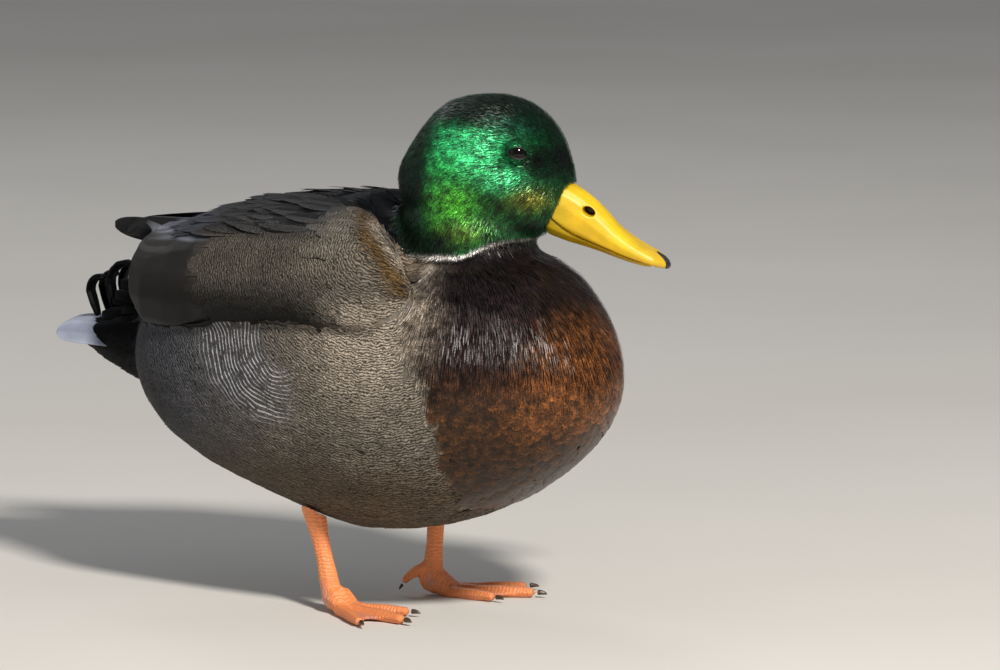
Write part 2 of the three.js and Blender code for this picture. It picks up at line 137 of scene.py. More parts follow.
# Contour feathers: matt keratin barbs, pencilled with fine wavy grey lines about 1 mm apart,
# and on the flank with wider white arcs. The lines follow the piece's own fields, in mm.
def contourFeather(name, roughness, specular):
    made, tree, shader, coords = newMaterial(name, Roughness=roughness, IOR=1.5, Specular_IOR_Level=specular)

    def value(layer):
        return addNode(tree, "Attribute", output="Fac", attribute_name=layer)

    wobble = addNode(tree, "TexNoise", {"Vector": coords, "Scale": 330, "Detail": 2})  # 3 mm
    fine = waves(tree, value("field"), 1.2, wobble, 3.4)
    shade = addNode(tree, "MapRange", {
        "Value": fine, "From Min": -0.8, "From Max": 0.8, "To Min": -0.75, "To Max": 0.85})
    pencilled = addNode(tree, "Math", {0: shade, 1: value("pencil"), 2: 1.0}, operation="MULTIPLY_ADD")
    colour = addNode(tree, "Mix", {0: 1.0, 6: addNode(tree, "Attribute", **tinted), 7: pencilled}, **times)
    colour, _ = clouded(tree, coords, colour, 1000, 2, [(0.36, 0.6), (0.64, 1.4)])  # 1 mm
    slow = addNode(tree, "TexNoise", {"Vector": coords, "Scale": 55, "Detail": 1})  # 18 mm
    wide = addNode(tree, "MapRange", {
        "Value": waves(tree, value("rings"), 2.0, slow, 8.0), "From Min": 0.5, "From Max": 0.95})
    gaps = addNode(tree, "TexNoise", {"Vector": coords, "Scale": 240, "Detail": 3})  # 4 mm
    broken = addNode(tree, "ValToRGB", {"Fac": gaps}, stops=[(0.34, 0.0), (0.5, 1.0)])
    shown = addNode(tree, "Math", {0: broken, 1: value("arcs")}, operation="MULTIPLY")
    arcs = addNode(tree, "Math", {0: wide, 1: shown}, operation="MULTIPLY")
    colour = addNode(tree, "Mix", {0: arcs, 6: colour, 7: (*linear("#c9cacf"), 1)}, **blended)
    colour, _ = clouded(tree, coords, colour, 60, 4, [(0.3, 0.84), (0.7, 1.12)])  # 16 mm
    height = addNode(tree, "Math", {0: fine, 1: 0.6, 2: barbRidges(tree, 1.0, 0.62)},
                     operation="MULTIPLY_ADD")
    bump = addNode(tree, "Bump", {"Strength": 0.6, "Distance": 0.0002, "Height": height})
    connect(shader, Base_Color=colour, Normal=bump)
    return made


# Places in the row frame, in mm.
duck = {
    "head": np.array([80.4, 2.0, 197.0]), "ahead": np.array([0.891, 0.454, 0.0]),
    "aside": np.array([-0.454, 0.891, 0.0]), "eyeRight": np.array([103.2, -9.3, 204.6]),
    "eyeLeft": np.array([84.7, 27.1, 204.6]),
}
sides = (("Right", -1), ("Left", 1))
flesh = ["trunk", "neck", "head", "wing_right", "wing_left", "tail_coverts"]
trunk, neck, head, wingRight, wingLeft, tailCoverts = range(6)


def mergedCopy(nodes, swell=0.0):
    built = bmesh.new()
    for node in nodes:
        built.from_mesh(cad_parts[node].data)
    bmesh.ops.remove_doubles(built, verts=built.verts, dist=1e-7)
    built.normal_update()
    if swell:
        for vert in built.verts:
            vert.co += vert.normal * swell
    return built


def linked(name, data):
    made = bpy.data.objects.new(name, data)
    bpy.context.collection.objects.link(made)
    return made


def meshObject(name, built):
    mesh = bpy.data.meshes.new(name)
    built.to_mesh(mesh)
    built.free()
    return linked(name, mesh)


# A ball or an egg with one of its axes turned some way.
def makeEgg(name, values, axis, way, place):
    built = bmesh.new()
    bmesh.ops.create_uvsphere(built, u_segments=values["segments"], v_segments=values["rings"], radius=mm)
    bmesh.ops.scale(built, verts=built.verts, vec=Vector(values["radii"]))
    turn = Vector(axis).rotation_difference(Vector(way)).to_matrix()
    bmesh.ops.rotate(built, verts=built.verts, matrix=turn)
    bmesh.ops.translate(built, verts=built.verts, vec=Vector(place * mm))
    made = meshObject(name, built)
    smoothed(made)
    return made


def applied(made):
    settled = bpy.data.meshes.new_from_object(made.evaluated_get(bpy.context.evaluated_depsgraph_get()))
    old = made.data
    made.modifiers.clear()
    made.data = settled
    settled.name = made.name
    bpy.data.meshes.remove(old)
    return made


def modify(made, kind, **settings):
    modifier = made.modifiers.new(kind.lower(), kind)
    for name, value in settings.items():
        setattr(modifier, name, value)


def remeshed(made, voxel, rounds):
    modify(made, "REMESH", mode="VOXEL", voxel_size=voxel * mm, use_smooth_shade=True)
    modify(made, "SMOOTH", factor=0.5, iterations=rounds)
    return applied(made)


def array(items, key, width):
    found = np.empty(len(items) * width, np.float64)
    items.foreach_get(key, found)
    return found.reshape(-1, width) if width > 1 else found


# Places in mm, and the way the surface faces at each.
def surfaceOf(made):
    vertices = made.data.vertices
    return array(vertices, "co", 3) * 1000, array(vertices, "normal", 3)


def setPlaces(made, places):
    made.data.vertices.foreach_set("co", (places * mm).ravel())


def smoothed(made):
    made.data.polygons.foreach_set("use_smooth", np.ones(len(made.data.polygons), bool))


def setLayer(mesh, name, values):
    mesh.attributes.new(name, "FLOAT", "POINT").data.foreach_set("value", values.astype(np.float32))


def setTint(mesh, colour):
    filled = np.concatenate([colour, np.ones((len(colour), 1))], 1).astype(np.float32)
    mesh.attributes.new("tint", "FLOAT_COLOR", "POINT").data.foreach_set("color", filled.ravel())


def paintPiece(made, painter):
    setTint(made.data, painter(*surfaceOf(made)))


# A ground colour, and a way to lay others over it where a mask says.
def painting(count, ground):
    out = np.tile(linear(ground), (count, 1))

    def paint(mask, colour, amount=1.0):
        m = np.clip(mask * amount, 0, 1)[:, None]
        out[:] = out * (1 - m) + linear(colour) * m

    return out, paint


def wear(made, material, nodes):
    made.data.materials.clear()
    made.data.materials.append(material)
    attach(made, "root")
    if nodes:
        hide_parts(*nodes)
    return made


# The whole bird's outline, to the tips of the coat, with the node each place belongs to.
def treeOf(nodes):
    places, faces, labels = [], [], []
    for label, node in enumerate(nodes):
        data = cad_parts[node].data
        start = len(places)
        places += [tuple(v.co * 1000) for v in data.vertices]
        faces += [tuple(start + i for i in p.vertices) for p in data.polygons]
        labels += [label] * len(data.polygons)
    return BVHTree.FromPolygons(places, faces), np.array(labels)


outline, outlineLabels = treeOf(flesh)


def zonesOf(places):
    found = [outline.find_nearest(Vector(p))[2] for p in places]
    return outlineLabels[np.array([0 if f is None else f for f in found])]


skinValues = {
    "swell": 0.4, "voxel": 1.8, "rounds": 8, "blends": 12, "evened": 4,
    "depth": {trunk: 1.9, neck: 1.6, head: 1.2, wingRight: 2.0, wingLeft: 1.8, tailCoverts: 2.4},
    "wingTipDepth": 1.2, "mapAngle": 70, "mapGap": 0.002,
}


def makeSkin():
    v = skinValues
    made = meshObject("bodySkin", mergedCopy(flesh, v["swell"] * mm))
    remeshed(made, v["voxel"], v["rounds"])
    mesh = made.data
    places, normals = surfaceOf(made)
    depth = np.array([v["depth"][z] for z in range(len(flesh))])[zonesOf(places)] + v["swell"]
    depth = np.where((places[:, 0] < -88) & (places[:, 2] > 140), v["wingTipDepth"], depth)
    edges = np.empty(len(mesh.edges) * 2, np.int32)
    mesh.edges.foreach_get("vertices", edges)
    ends = edges.reshape(-1, 2)
    for _ in range(v["blends"]):
        total, count = depth.copy(), np.ones(len(depth))
        for a, b in ((0, 1), (1, 0)):
            np.add.at(total, ends[:, a], depth[ends[:, b]])
            np.add.at(count, ends[:, a], 1)
        depth = total / count
    setPlaces(made, places - normals * depth[:, None])
    mesh.update()
    modify(made, "SMOOTH", factor=0.5, iterations=v["evened"])
    applied(made)
    bpy.context.view_layer.objects.active = made
    made.select_set(True)
    bpy.ops.object.mode_set(mode="EDIT")
    bpy.ops.mesh.select_all(action="SELECT")
    bpy.ops.uv.smart_project(angle_limit=math.radians(v["mapAngle"]), island_margin=v["mapGap"])
    bpy.ops.object.mode_set(mode="OBJECT")
    made.select_set(False)
    made.data.uv_layers[0].name = "OFBake"
    return made


bodySkin = makeSkin()
skinMesh = bodySkin.data
skin = dict(zip(("place", "normal"), surfaceOf(bodySkin)))
skinMesh.calc_loop_triangles()
corner = np.empty(len(skinMesh.loop_triangles) * 3, np.int32)
skinMesh.loop_triangles.foreach_get("vertices", corner)
skin["tris"] = corner.reshape(-1, 3).copy()
skinMesh.loop_triangles.foreach_get("loops", corner)
skin["uv"] = array(skinMesh.uv_layers["OFBake"].uv, "vector", 2)[corner].reshape(-1, 3, 2)
skin["zone"] = zonesOf(skin["place"])
skinTree = BVHTree.FromPolygons(skin["place"].tolist(), skin["tris"].tolist())
skin["middle"] = skin["place"][skin["tris"]].mean(1)
skin["part"] = skin["zone"][skin["tris"][:, 0]]
ab = skin["place"][skin["tris"][:, 1]] - skin["place"][skin["tris"][:, 0]]
ac = skin["place"][skin["tris"][:, 2]] - skin["place"][skin["tris"][:, 0]]
skin["area"] = np.linalg.norm(np.cross(ab, ac), axis=1) / 2
print("skin", len(skin["tris"]), "triangles", skin["area"].sum(), "mm2")


# How far forward along the bill's line a place is from the middle of the head, and how high.
def headPlace(p):
    rel = p - duck["head"]
    return rel @ duck["ahead"], rel[:, 2]


def collarHeight(p):
    return 159.2 + 6.8 * soft(83, 99, p[:, 0])


def breastEdge(p):
    wave = 2.2 * np.sin(p[:, 2] * 0.42) * np.sin(p[:, 2] * 0.13 + 1)
    return 75.5 + 17.5 * soft(140, 98, p[:, 2]) + wave


# The folded wing's coat ends in front in a bent edge, further back the higher it is.
def pastWing(p):
    rise = np.clip(p[:, 2] - 144.7, -10, 40)
    return p[:, 0] - (74.5 - 0.36 * rise - 0.0185 * rise * np.abs(rise))


# The plumage's colours by place on the bird, the same for the skin and for every feather over it.
def plumage(p, n, zone):
    u, w = headPlace(p)
    x, y, z = p[:, 0], np.abs(p[:, 1]), p[:, 2]
    out, paint = painting(len(p), "#5f584e")

    def blob(centre, size):
        d = ((np.stack([x, y, z], 1) - np.array(centre)) / np.array(size)) ** 2
        return np.exp(-d.sum(1))

    def spot(along, high, long, tall):
        return np.exp(-(((u - along) / long) ** 2 + ((w - high) / tall) ** 2))

    # flanks and belly: warm grey; pale before the wing, painted light where the lamp falls; darker and bluer
    # behind and low on the side, and darker still low at the rear, painted shade; browner below, partly
    # painted shade under the body
    paint(soft(24, -50, x), "#34373f", 0.92)
    paint(blob((0, 60, 108), (26, 60, 24)), "#3b3c42", 0.75)
    paint(blob((62, 66, 124), (24, 40, 24)), "#958a7c", 0.85)
    paint(soft(84, 56, z), "#463823", 0.75)
    paint(soft(-30, -60, x) * soft(120, 90, z), "#2a2621", 0.6)
    # back and rump between the wings
    wings = (zone == wingRight) | (zone == wingLeft)
    torso = (zone == trunk).astype(float)
    paint(soft(0.35, 0.75, n[:, 2]) * soft(128, 145, z) * torso, "#08090c")
    # breast: purple-black above, chestnut below, frosted toward the wing
    under = (zone == neck) | (zone == head)
    front = np.where(under, soft(50, 57, x), soft(-1.5, 1.5, x - breastEdge(p)) * torso)
    paint(front, "#331d09")
    # lighter chestnut on the forward front of the breast, where the lamp falls: painted light
    paint(front * soft(108, 128, x) * soft(152, 132, z) * soft(70, 90, z), "#4c2b0e", 0.75)
    paint(front * soft(116, 134, x) * soft(156, 140, z) * soft(84, 100, z), "#663c1c", 0.7)
    paint(front * soft(98, 126, z) * soft(134, 118, x), "#211112")
    paint(front * soft(124, 148, z), "#140c0f", 0.9)
    paint(front * soft(66, 44, z), "#2c1805", 0.85)
    frost = front * soft(102, 80, x + 12 * soft(136, 152, z))
    paint(frost * soft(104, 130, z) * soft(20, 44, y), "#7f7468", 0.85)
    # under and behind the tail
    paint(soft(-72, -80, x + (z - 90) * 0.25) * soft(150, 138, z) * ~wings, "#030304")
    paint((zone == tailCoverts).astype(float), "#030304")
    # wings: pencilled grey-brown; smooth and darker behind, partly painted shade on the side away from the
    # lamp; blue-grey on the upper facet with a pale line along its crease, painted light from above; nearly
    # black along the lower edge, dark flight feathers with painted shade where the wing tucks in
    wing = wings.astype(float)
    past = pastWing(p)
    rear = wing * soft(-28, -33, x)
    paint(wing, "#4b463f")
    paint(wing * soft(16, 44, x) * soft(144, 156, z), "#615a50", 0.8)
    paint(wing * soft(40, 62, x) * soft(150, 136, z), "#857b6e", 0.9)
    paint(wing * soft(164, 171, z) * soft(40, 20, x), "#2b292a", 0.8)
    # nearly black lower edge: dark flight feathers, with painted shade where the wing turns in under
    paint(wing * soft(154, 136, z) * soft(56, 30, x), "#080605", 0.95)
    paint(rear, "#221f1d", 0.95)
    paint(rear * soft(152, 138, z), "#0e0907", 0.92)
    # blue-grey upper facet and a pale line along its crease: painted light from above, and a painted
    # highlight
    paint(rear * soft(161.4, 162.6, z), "#4a4e5a", 0.95)
    paint(rear * np.exp(-((z - 162.0) / 0.7) ** 2) * soft(-34, -44, x), "#9094a0", 0.75)
    paint(wing * soft(-90, -96, x), "#1e1e21")
    paint(wing * soft(171, 177, z) * soft(40, 20, x), "#0c0c0f", 0.94)
    # the pale patch, the gold stripe and the dark mantle before the wing
    shoulder = (wings | (zone == trunk)) * soft(10, 24, x) * (1 - front)
    paint(shoulder * soft(0.5, 3, past) * soft(126, 138, z), "#9a8f82", 0.9)
    paint(wing * shoulder * np.exp(-(past / 3.2) ** 2) * soft(141, 147, z), "#5d4727", 0.95)
    paint(shoulder * soft(4.4, 6.4, past) * soft(157, 161, z), "#07080b", 0.97)
    paint(wing * soft(16, 26, x) * soft(0, 2, z - 181.2 + (x - 24) * 0.22), "#07080b", 0.97)
    mantle = soft(26, 36, x) * soft(60, 54, x) * soft(0.45, 0.7, n[:, 2]) * soft(155, 165, z)
    paint(mantle * (1 - front) * torso, "#07080b", 0.95)
    paint(under * (1 - front) * soft(60, 52, x), "#07080b", 0.95)
    pale = (torso + (zone == neck)) * soft(52, 57, x) * soft(74, 66, x)
    paint(pale * soft(144, 150, z) * soft(16, 26, y), "#857565", 0.8)
    # head: green, with the iridescent sheen painted in as one light catches it: the bright emerald and
    # yellow-green patches are painted reflection, the near-black on the crown, nape, lores and chin painted
    # shade where the sheen turns away
    green = under * soft(-0.4, 0.4, z - collarHeight(p) - 0.8)
    paint(green, "#0a5a2c")
    for along, high, long, tall, colour, amount in (
            (-9, 8, 16, 13, "#48dc8c", 0.95), (-18, 0, 9, 9, "#2cb457", 0.8),
            (-12, -14, 15, 11, "#4da62e", 0.92), (-10, -27, 12, 5, "#5a7a22", 0.8),
            (6, -15, 8, 9, "#0b1f0b", 0.88), (9, -3, 9, 5, "#46cf84", 0.85), (21, -13, 8, 5, "#75741a", 0.9)):
        paint(green * spot(along, high, long, tall), colour, amount)
    paint(green * soft(14, 22, w + 0.12 * u), "#020b09", 0.97)
    paint(green * spot(12, 18, 12, 5), "#2a7a5a", 0.35)
    paint(green * soft(-18, -29, u - 0.12 * w), "#020a07", 0.97)
    paint(green * soft(-21, -31, w) * soft(-5, -18, u), "#030a05", 0.92)
    paint(green * spot(33, 5, 10, 14), "#03050d", 0.98)
    paint(green * spot(23, 4, 7, 6), "#020405", 0.98)
    paint(green * spot(20, -25, 13, 5), "#090a05", 0.92)
    ring = np.exp(-((np.abs(z - collarHeight(p)) / (0.85 - 0.3 * soft(82, 94, x))) ** 4)) * under
    paint(ring * (0.2 + 0.8 * soft(64, 78, x)) * (1 - 0.8 * soft(91, 98, x)), "#e6e1de")
    return np.clip(out, 0, 1)


# How strongly the fine grey lines and the white arcs show, and the field each of them follows.
def barring(p, zone):
    x, z = p[:, 0], p[:, 2]
    wings = (zone == wingRight) | (zone == wingLeft)
    past = pastWing(p)
    much = 1 - soft(-2, 2, x - breastEdge(p)) * (zone == trunk)
    much = np.where(wings, 0.9 * soft(-34, -28, x), much)
    much = np.where((zone == tailCoverts) | (zone == head) | (zone == neck), 0.0, much)
    much = much * (1 - soft(4, 6, past) * soft(156, 162, z))
    much = much * (1 - 0.7 * np.exp(-(past / 3.5) ** 2) * soft(141, 147, z))
    much = much * soft(-92, -80, x + (z - 90) * 0.25)
    away = np.hypot(x - 19, z - 125)
    arcs = soft(11, 19, away) * soft(54, 42, np.hypot(x - 19, (z - 125) * 1.25))
    arcs = arcs * soft(30, 12, x) * (zone == trunk) * 0.95
    field = np.where(wings, np.hypot(x - 70, z - 178), np.hypot(x - 64, z - 182))
    return much * (1 - 0.6 * arcs), arcs, field, away


# The way the coat lies: out from the bill, down the neck, round the breast and back along the body.
def lie(p, n, zone, turn):
    x, z = p[:, 0], p[:, 2]
    wish = np.zeros((len(p), 3))
    down = soft(52, 92, x) * ((zone == trunk) | (zone == neck))
    wish[:, 0] = -1.0 + 0.95 * down * soft(50, 84, z)
    wish[:, 2] = -0.05 - 1.1 * down * soft(40, 80, z)
    away = unit(p[:, :2] - np.array([52.0, 0.0]))
    wish[:, :2] += away * (1.1 * down * soft(126, 158, z))[:, None]
    nape = (zone == neck) & (x < 56)
    wish = np.where(nape[:, None], np.array([-0.45, 0, -1.0]), wish)
    u, w = headPlace(p)
    fall = 0.15 + 1.3 * soft(6, -26, w) + 1.2 * soft(-5, -30, u)
    crown = -duck["ahead"] * (1.1 - 0.7 * soft(-10, -34, w))[:, None] - np.array([0, 0, 1]) * fall[:, None]
    wish = np.where((zone == head)[:, None], crown, wish)
    flat = unit(wish - n * (wish * n).sum(1, keepdims=True))
    across = np.cross(n, flat)
    return unit(flat * np.cos(turn)[:, None] + across * np.sin(turn)[:, None])


eyeValues = {
    "pupil": 1.9, "iris": 3.7, "opening": (3.9, 2.3), "sunk": 1.7, "radii": (5.2, 5.2, 5.2),
    "segments": 48, "rings": 32,
}


def eyeAxes(sign):
    outward = unit(duck["aside"] * sign + duck["ahead"] * 0.22 + np.array([0, 0, 0.1]))
    forward = unit(duck["ahead"] - outward * (duck["ahead"] @ outward))
    up = np.cross(outward, forward)
    return outward, forward, up * np.sign(up[2])


# Roots spread evenly over some of the skin, none nearer to another than the spacing.
def roots(mask, spacing, seed):
    rng = np.random.default_rng(seed)
    spacing = spacing * thin
    picked = np.flatnonzero(mask)
    weights = np.cumsum(skin["area"][picked])
    many = int(weights[-1] / spacing ** 2 * 2.6) + 1
    tri = picked[np.searchsorted(weights, rng.random(many) * weights[-1])]
    a, b = rng.random(many), rng.random(many)
    over = a + b > 1
    a[over], b[over] = 1 - a[over], 1 - b[over]
    share = np.stack([1 - a - b, a, b], 1)
    places = (skin["place"][skin["tris"][tri]] * share[:, :, None]).sum(1)
    keys = np.floor(places / spacing).astype(int)
    kept, cells = [], {}
    limit = spacing ** 2
    steps = [(i, j, k) for i in (-1, 0, 1) for j in (-1, 0, 1) for k in (-1, 0, 1)]
    for index, ((x, y, z), (i, j, k)) in enumerate(zip(places.tolist(), keys.tolist())):
        if not any((ox - x) ** 2 + (oy - y) ** 2 + (oz - z) ** 2 < limit for di, dj, dk in steps
                   for ox, oy, oz in cells.get((i + di, j + dj, k + dk), ())):
            cells.setdefault((i, j, k), []).append((x, y, z))
            kept.append(index)
    kept = np.array(kept)
    share, tri = share[kept], tri[kept]
    return {
        "place": places[kept],
        "normal": unit((skin["normal"][skin["tris"][tri]] * share[:, :, None]).sum(1)),
        "uv": (skin["uv"][tri] * share[:, :, None]).sum(1),
        "zone": skin["zone"][skin["tris"][tri][:, 0]],
        "random": rng.random((len(kept), 6)),
    }


# Outlines of a feather: how far along each row is and how wide there, as shares of the whole.
shapes = {
    "strand": {"along": [0, 0.5, 1], "wide": [0.7, 1.0, 0.12], "columns": 2},
    "slip": {"along": [0, 0.35, 0.7, 1], "wide": [0.6, 1.0, 0.85, 0.15], "columns": 2},
    "round": {"along": [0, 0.22, 0.45, 0.66, 0.82, 0.93, 1],
              "wide": [0.3, 0.72, 0.95, 1, 0.88, 0.62, 0.22], "columns": 5},
    "pointed": {"along": [0, 0.2, 0.42, 0.62, 0.8, 0.92, 1],
                "wide": [0.3, 0.75, 1, 0.95, 0.72, 0.42, 0.06], "columns": 5},
}


def meshFrom(name, grid, normals, uvRoot, colour, lines, barbs, fringe):
    count, rows, cols, _ = grid.shape
    r, c = np.meshgrid(np.arange(rows - 1), np.arange(cols - 1), indexing="ij")
    first = (r * cols + c).ravel()
    quads = np.stack([first, first + cols, first + cols + 1, first + 1], 1)
    quads = (quads[None] + (np.arange(count) * rows * cols)[:, None, None]).reshape(-1, 4)
    places = grid.reshape(-1, 3)
    facing = normals.reshape(-1, 3)
    total = len(places)
    patch = uvRoot[:, None, None, :] + 0.003 * (np.stack(np.meshgrid(
        np.linspace(0, 1, rows), np.linspace(0, 1, cols), indexing="ij"), -1)[None] - 0.5)
    patch = patch.reshape(-1, 2)
    loops, starts, sizes = quads.ravel(), np.arange(len(quads)) * 4, np.full(len(quads), 4)
    tips = fringe["place"] if fringe else None
    if fringe:
        tris = total + np.arange(len(tips) * 3).reshape(-1, 3)
        places = np.concatenate([places, tips.reshape(-1, 3)])
        facing = np.concatenate([facing, fringe["normal"].reshape(-1, 3)])
        colour = np.concatenate([colour, fringe["colour"].reshape(-1, 3)])
        lines = {key: np.concatenate([values, np.zeros(len(tips) * 3)]) for key, values in lines.items()}
        barbs = np.concatenate([barbs, np.zeros((len(tips) * 3, 2))])
        patch = np.concatenate([patch, fringe["uv"].reshape(-1, 2)])
        starts = np.concatenate([starts, len(loops) + np.arange(len(tris)) * 3])
        loops = np.concatenate([loops, tris.ravel()])
        sizes = np.concatenate([sizes, np.full(len(tris), 3)])
    mesh = bpy.data.meshes.new(name)
    mesh.vertices.add(len(places))
    mesh.vertices.foreach_set("co", (places * mm).astype(np.float32).ravel())
    mesh.loops.add(len(loops))
    mesh.loops.foreach_set("vertex_index", loops.astype(np.int32))
    mesh.polygons.add(len(starts))
    mesh.polygons.foreach_set("loop_start", starts.astype(np.int32))
    mesh.polygons.foreach_set("loop_total", sizes.astype(np.int32))
    mesh.update(calc_edges=True)
    for layer, values in (("OFBake", patch), ("barbs", barbs)):
        made = mesh.uv_layers.new(name=layer)
        made.uv.foreach_set("vector", values[loops].astype(np.float32).ravel())
    setTint(mesh, colour)
    for layer, values in lines.items():
        setLayer(mesh, layer, values)
    mesh.polygons.foreach_set("use_smooth", np.ones(len(starts), bool))
    mesh.normals_split_custom_set_from_vertices(unit(facing).tolist())
    return linked(name, mesh)


# Loose barb ends along the rim of each vane.
def looseBarbs(values, seed, along, grid, facing, flow, normals, colour, uv):
    many, rows, cols, _ = grid.shape
    each = values["fringe"]
    rng = np.random.default_rng(seed)
    at = 0.45 + 0.55 * np.sqrt(rng.random((many, each)))
    row = np.clip(np.searchsorted(along, at, side="right") - 1, 0, rows - 2)
    share = ((at - along[row]) / (along[row + 1] - along[row]))[..., None]
    hand = np.where(rng.random((many, each)) < 0.5, 0, cols - 1)
    who = np.arange(many)[:, None]
    rimPlace = grid[who, row, hand] * (1 - share) + grid[who, row + 1, hand] * share
    shaft = grid[who, row, cols // 2] * (1 - share) + grid[who, row + 1, cols // 2] * share
    inward = rng.random((many, each, 1)) * np.where(at > 0.9, 0.9, 0.15)[..., None]
    rimPlace = rimPlace + (shaft - rimPlace) * inward
    onward = flow[:, None] * (0.8 + 0.3 * rng.random((many, each, 1)))
    out = unit(unit(rimPlace - shaft + 1e-6) * 0.55 + onward)
    reach = values["fringeLength"] * (0.5 + rng.random((many, each, 1)))
    up = facing[who, row, hand]
    beside = unit(np.cross(up, out)) * 0.16 * thin
    base = rimPlace - out * 0.6
    ends = np.stack([base + beside, base - beside, rimPlace + out * reach + up * 0.1], 2)
    ends = ends + up[:, :, None] * 0.05
    tone = colour.reshape(many, rows, cols, 3)[:, -1, cols // 2][:, None, None]
    tone = np.broadcast_to(tone * (0.9 + 0.3 * rng.random((many, each, 1, 1))), (many, each, 3, 3))
    spread = uv[:, None, None] + 0.003 * (rng.random((many, each, 3, 2)) - 0.5)
    return {
        "place": ends.reshape(-1, 3, 3), "normal": np.repeat(normals[who, row, hand].reshape(-1, 1, 3), 3, 1),
        "colour": tone.reshape(-1, 3, 3), "uv": spread.reshape(-1, 3, 2),
    }


# One coat piece: a vane or strand at each root, following the skin and lifting to the coat's depth
# at its tip.
def layCoat(name, values, mask, seed, material, found=None):
    found = found or roots(mask, values["spacing"], seed)
    shape = shapes[values["shape"]]
    rows, cols = len(shape["along"]), shape["columns"]
    p, n, zone, chance = found["place"], found["normal"], found["zone"], found["random"]
    many = len(p)
    fine = values["shape"] in ("strand", "slip")

    def measure(key):
        return values[key](p) if callable(values[key]) else np.full(many, values[key])

    length = measure("length") * (0.8 + 0.4 * chance[:, 0]) * (thin if fine else 1)
    width = measure("width") * (0.85 + 0.3 * chance[:, 1]) * thin
    flow = lie(p, n, zone, (chance[:, 2] - 0.5) * 2 * values["stray"])
    across = np.cross(n, flow)
    along = np.array(shape["along"])
    centre = p[:, None] + flow[:, None] * (length[:, None] * along)[:, :, None]
    top = measure("lift")
    if values.get("reach"):
        # where the smoothed skin has sunk further below the outline, the tips still come out to it
        gaps = [outline.ray_cast(Vector(a), Vector(b), 8.0)[3] for a, b in zip(p, n)]
        top = np.clip([(g or 0) + 1.3 for g in gaps], top, top + values["reach"])
    lift = values["root"] + (top[:, None] - values["root"]) * along[None, :] ** 0.85
    lift = lift * (1 + (chance[:, 3:4] - 0.5) * values.get("uneven", 0.35))
    sideways = np.linspace(-1, 1, cols)
    half = width[:, None] / 2 * np.array(shape["wide"])
    grid = centre[:, :, None] + across[:, None, None] * (half[:, :, None] * sideways)[..., None]
    facing = np.repeat(n[:, None, None], rows, 1).repeat(cols, 2)
    if values.get("hug"):
        flat, nearest, normal = grid.reshape(-1, 3), [], []
        for place in flat.tolist():
            q, m, _, _ = skinTree.find_nearest(place)
            nearest.append(q)
            normal.append(m)
        normal = np.array(normal).reshape(grid.shape)
        nearest = np.array(nearest).reshape(grid.shape)
        facing = unit(normal + n[:, None, None] * 0.5)
        nearest = nearest * 0.85 + 0.15 * (grid - facing * ((grid - nearest) * facing).sum(-1, keepdims=True))
        # a feather bridging from one part to another is left out
        steps = np.linalg.norm(np.diff(nearest, axis=1), axis=-1).max((1, 2))
        whole = steps < length * np.diff(along).max() * 1.5 + 0.6
        whole &= np.linalg.norm(np.diff(nearest, axis=2), axis=-1).max((1, 2)) < width * 0.45 + 0.8
        p, n, zone, chance, length, flow, half, lift, facing, grid = (
            rowsOf[whole] for rowsOf in (p, n, zone, chance, length, flow, half, lift, facing, nearest))
        found, many = {"uv": found["uv"][whole]}, len(p)
    camber = values.get("camber", 0.1) * half[:, :, None] * (1 - sideways ** 2)
    grid = grid + facing * (lift[:, :, None] + camber)[..., None]
    dAlong = np.gradient(grid, axis=1)
    dAcross = np.gradient(grid, axis=2)
    shaped = unit(np.cross(dAlong, dAcross))
    shaped = shaped * np.sign((shaped * facing).sum(-1, keepdims=True))
    normals = unit(shaped * (1 - values["blend"]) + facing * values["blend"])
    if fine:
        lean = (chance[:, 4] - 0.5) * 2 * values.get("sparkle", 0.5)
        normals = unit(normals + across[:, None, None] * lean[:, None, None, None])
    zoned = np.repeat(zone, rows * cols)
    flat = grid.reshape(-1, 3)
    spots = np.repeat(p, rows * cols, 0) * (1 - values["local"]) + flat * values["local"]
    skinward = np.repeat(n, rows * cols, 0)
    colour = plumage(spots, skinward, zoned)
    shade = 1 + (chance[:, 5] - 0.5) * values["vary"]
    colour = colour * np.repeat(shade, rows * cols)[:, None]
    rim = np.tile(np.broadcast_to(np.abs(sideways) ** 3, (rows, cols)).ravel(), many)[:, None]
    colour = colour * (values.get("shade", 1.0) * (1 + (values.get("edge", 1.0) - 1) * rim))
    if values.get("tip") is not None:
        glow = np.repeat(along ** values.get("tipPower", 3), cols) * values["tipShare"]
        glow = np.tile(glow, many)[:, None]
        colour = colour * (1 - glow) + colour * values["tip"] * glow
    pencil, arcs, field, rings = barring(flat, zoned)
    field = field + np.repeat((chance[:, 5] - 0.5) * values.get("slip", 0.5), rows * cols)
    barbs = np.stack(np.broadcast_arrays(
        half[:, :, None] * sideways + 0 * along[None, :, None],
        (length[:, None] * along)[:, :, None] + (chance[:, 5] * 90)[:, None, None]), -1)
    fringe = looseBarbs(values, seed + 1, along, grid, facing, flow, normals, colour,
                        found["uv"]) if values.get("fringe") else None
    lines = {"pencil": pencil, "arcs": arcs, "field": field, "rings": rings}
    made = meshFrom(name, grid, normals, found["uv"], colour, lines, barbs.reshape(-1, 2), fringe)
    wear(made, material, [])
    print(name, many, "feathers", sum(len(q.vertices) - 2 for q in made.data.polygons), "triangles")
    return made


headGloss = glossFeather("iridescentHeadFeather", 0.4, 0.36, 0.4, (0.4, 1.0, 0.6))
breastGloss = glossFeather("chestnutBreastFeather", 0.0, 0.33, 0.28, (1.0, 0.8, 0.7))
blackGloss = glossFeather("glossyBlackFeather", 0.0, 0.55, 0.05, (0.5, 0.7, 1.0))
greyFeather = contourFeather("pencilledGreyFeather", 0.6, 0.25)
wingFeather = contourFeather("brownGreyWingFeather", 0.5, 0.2)

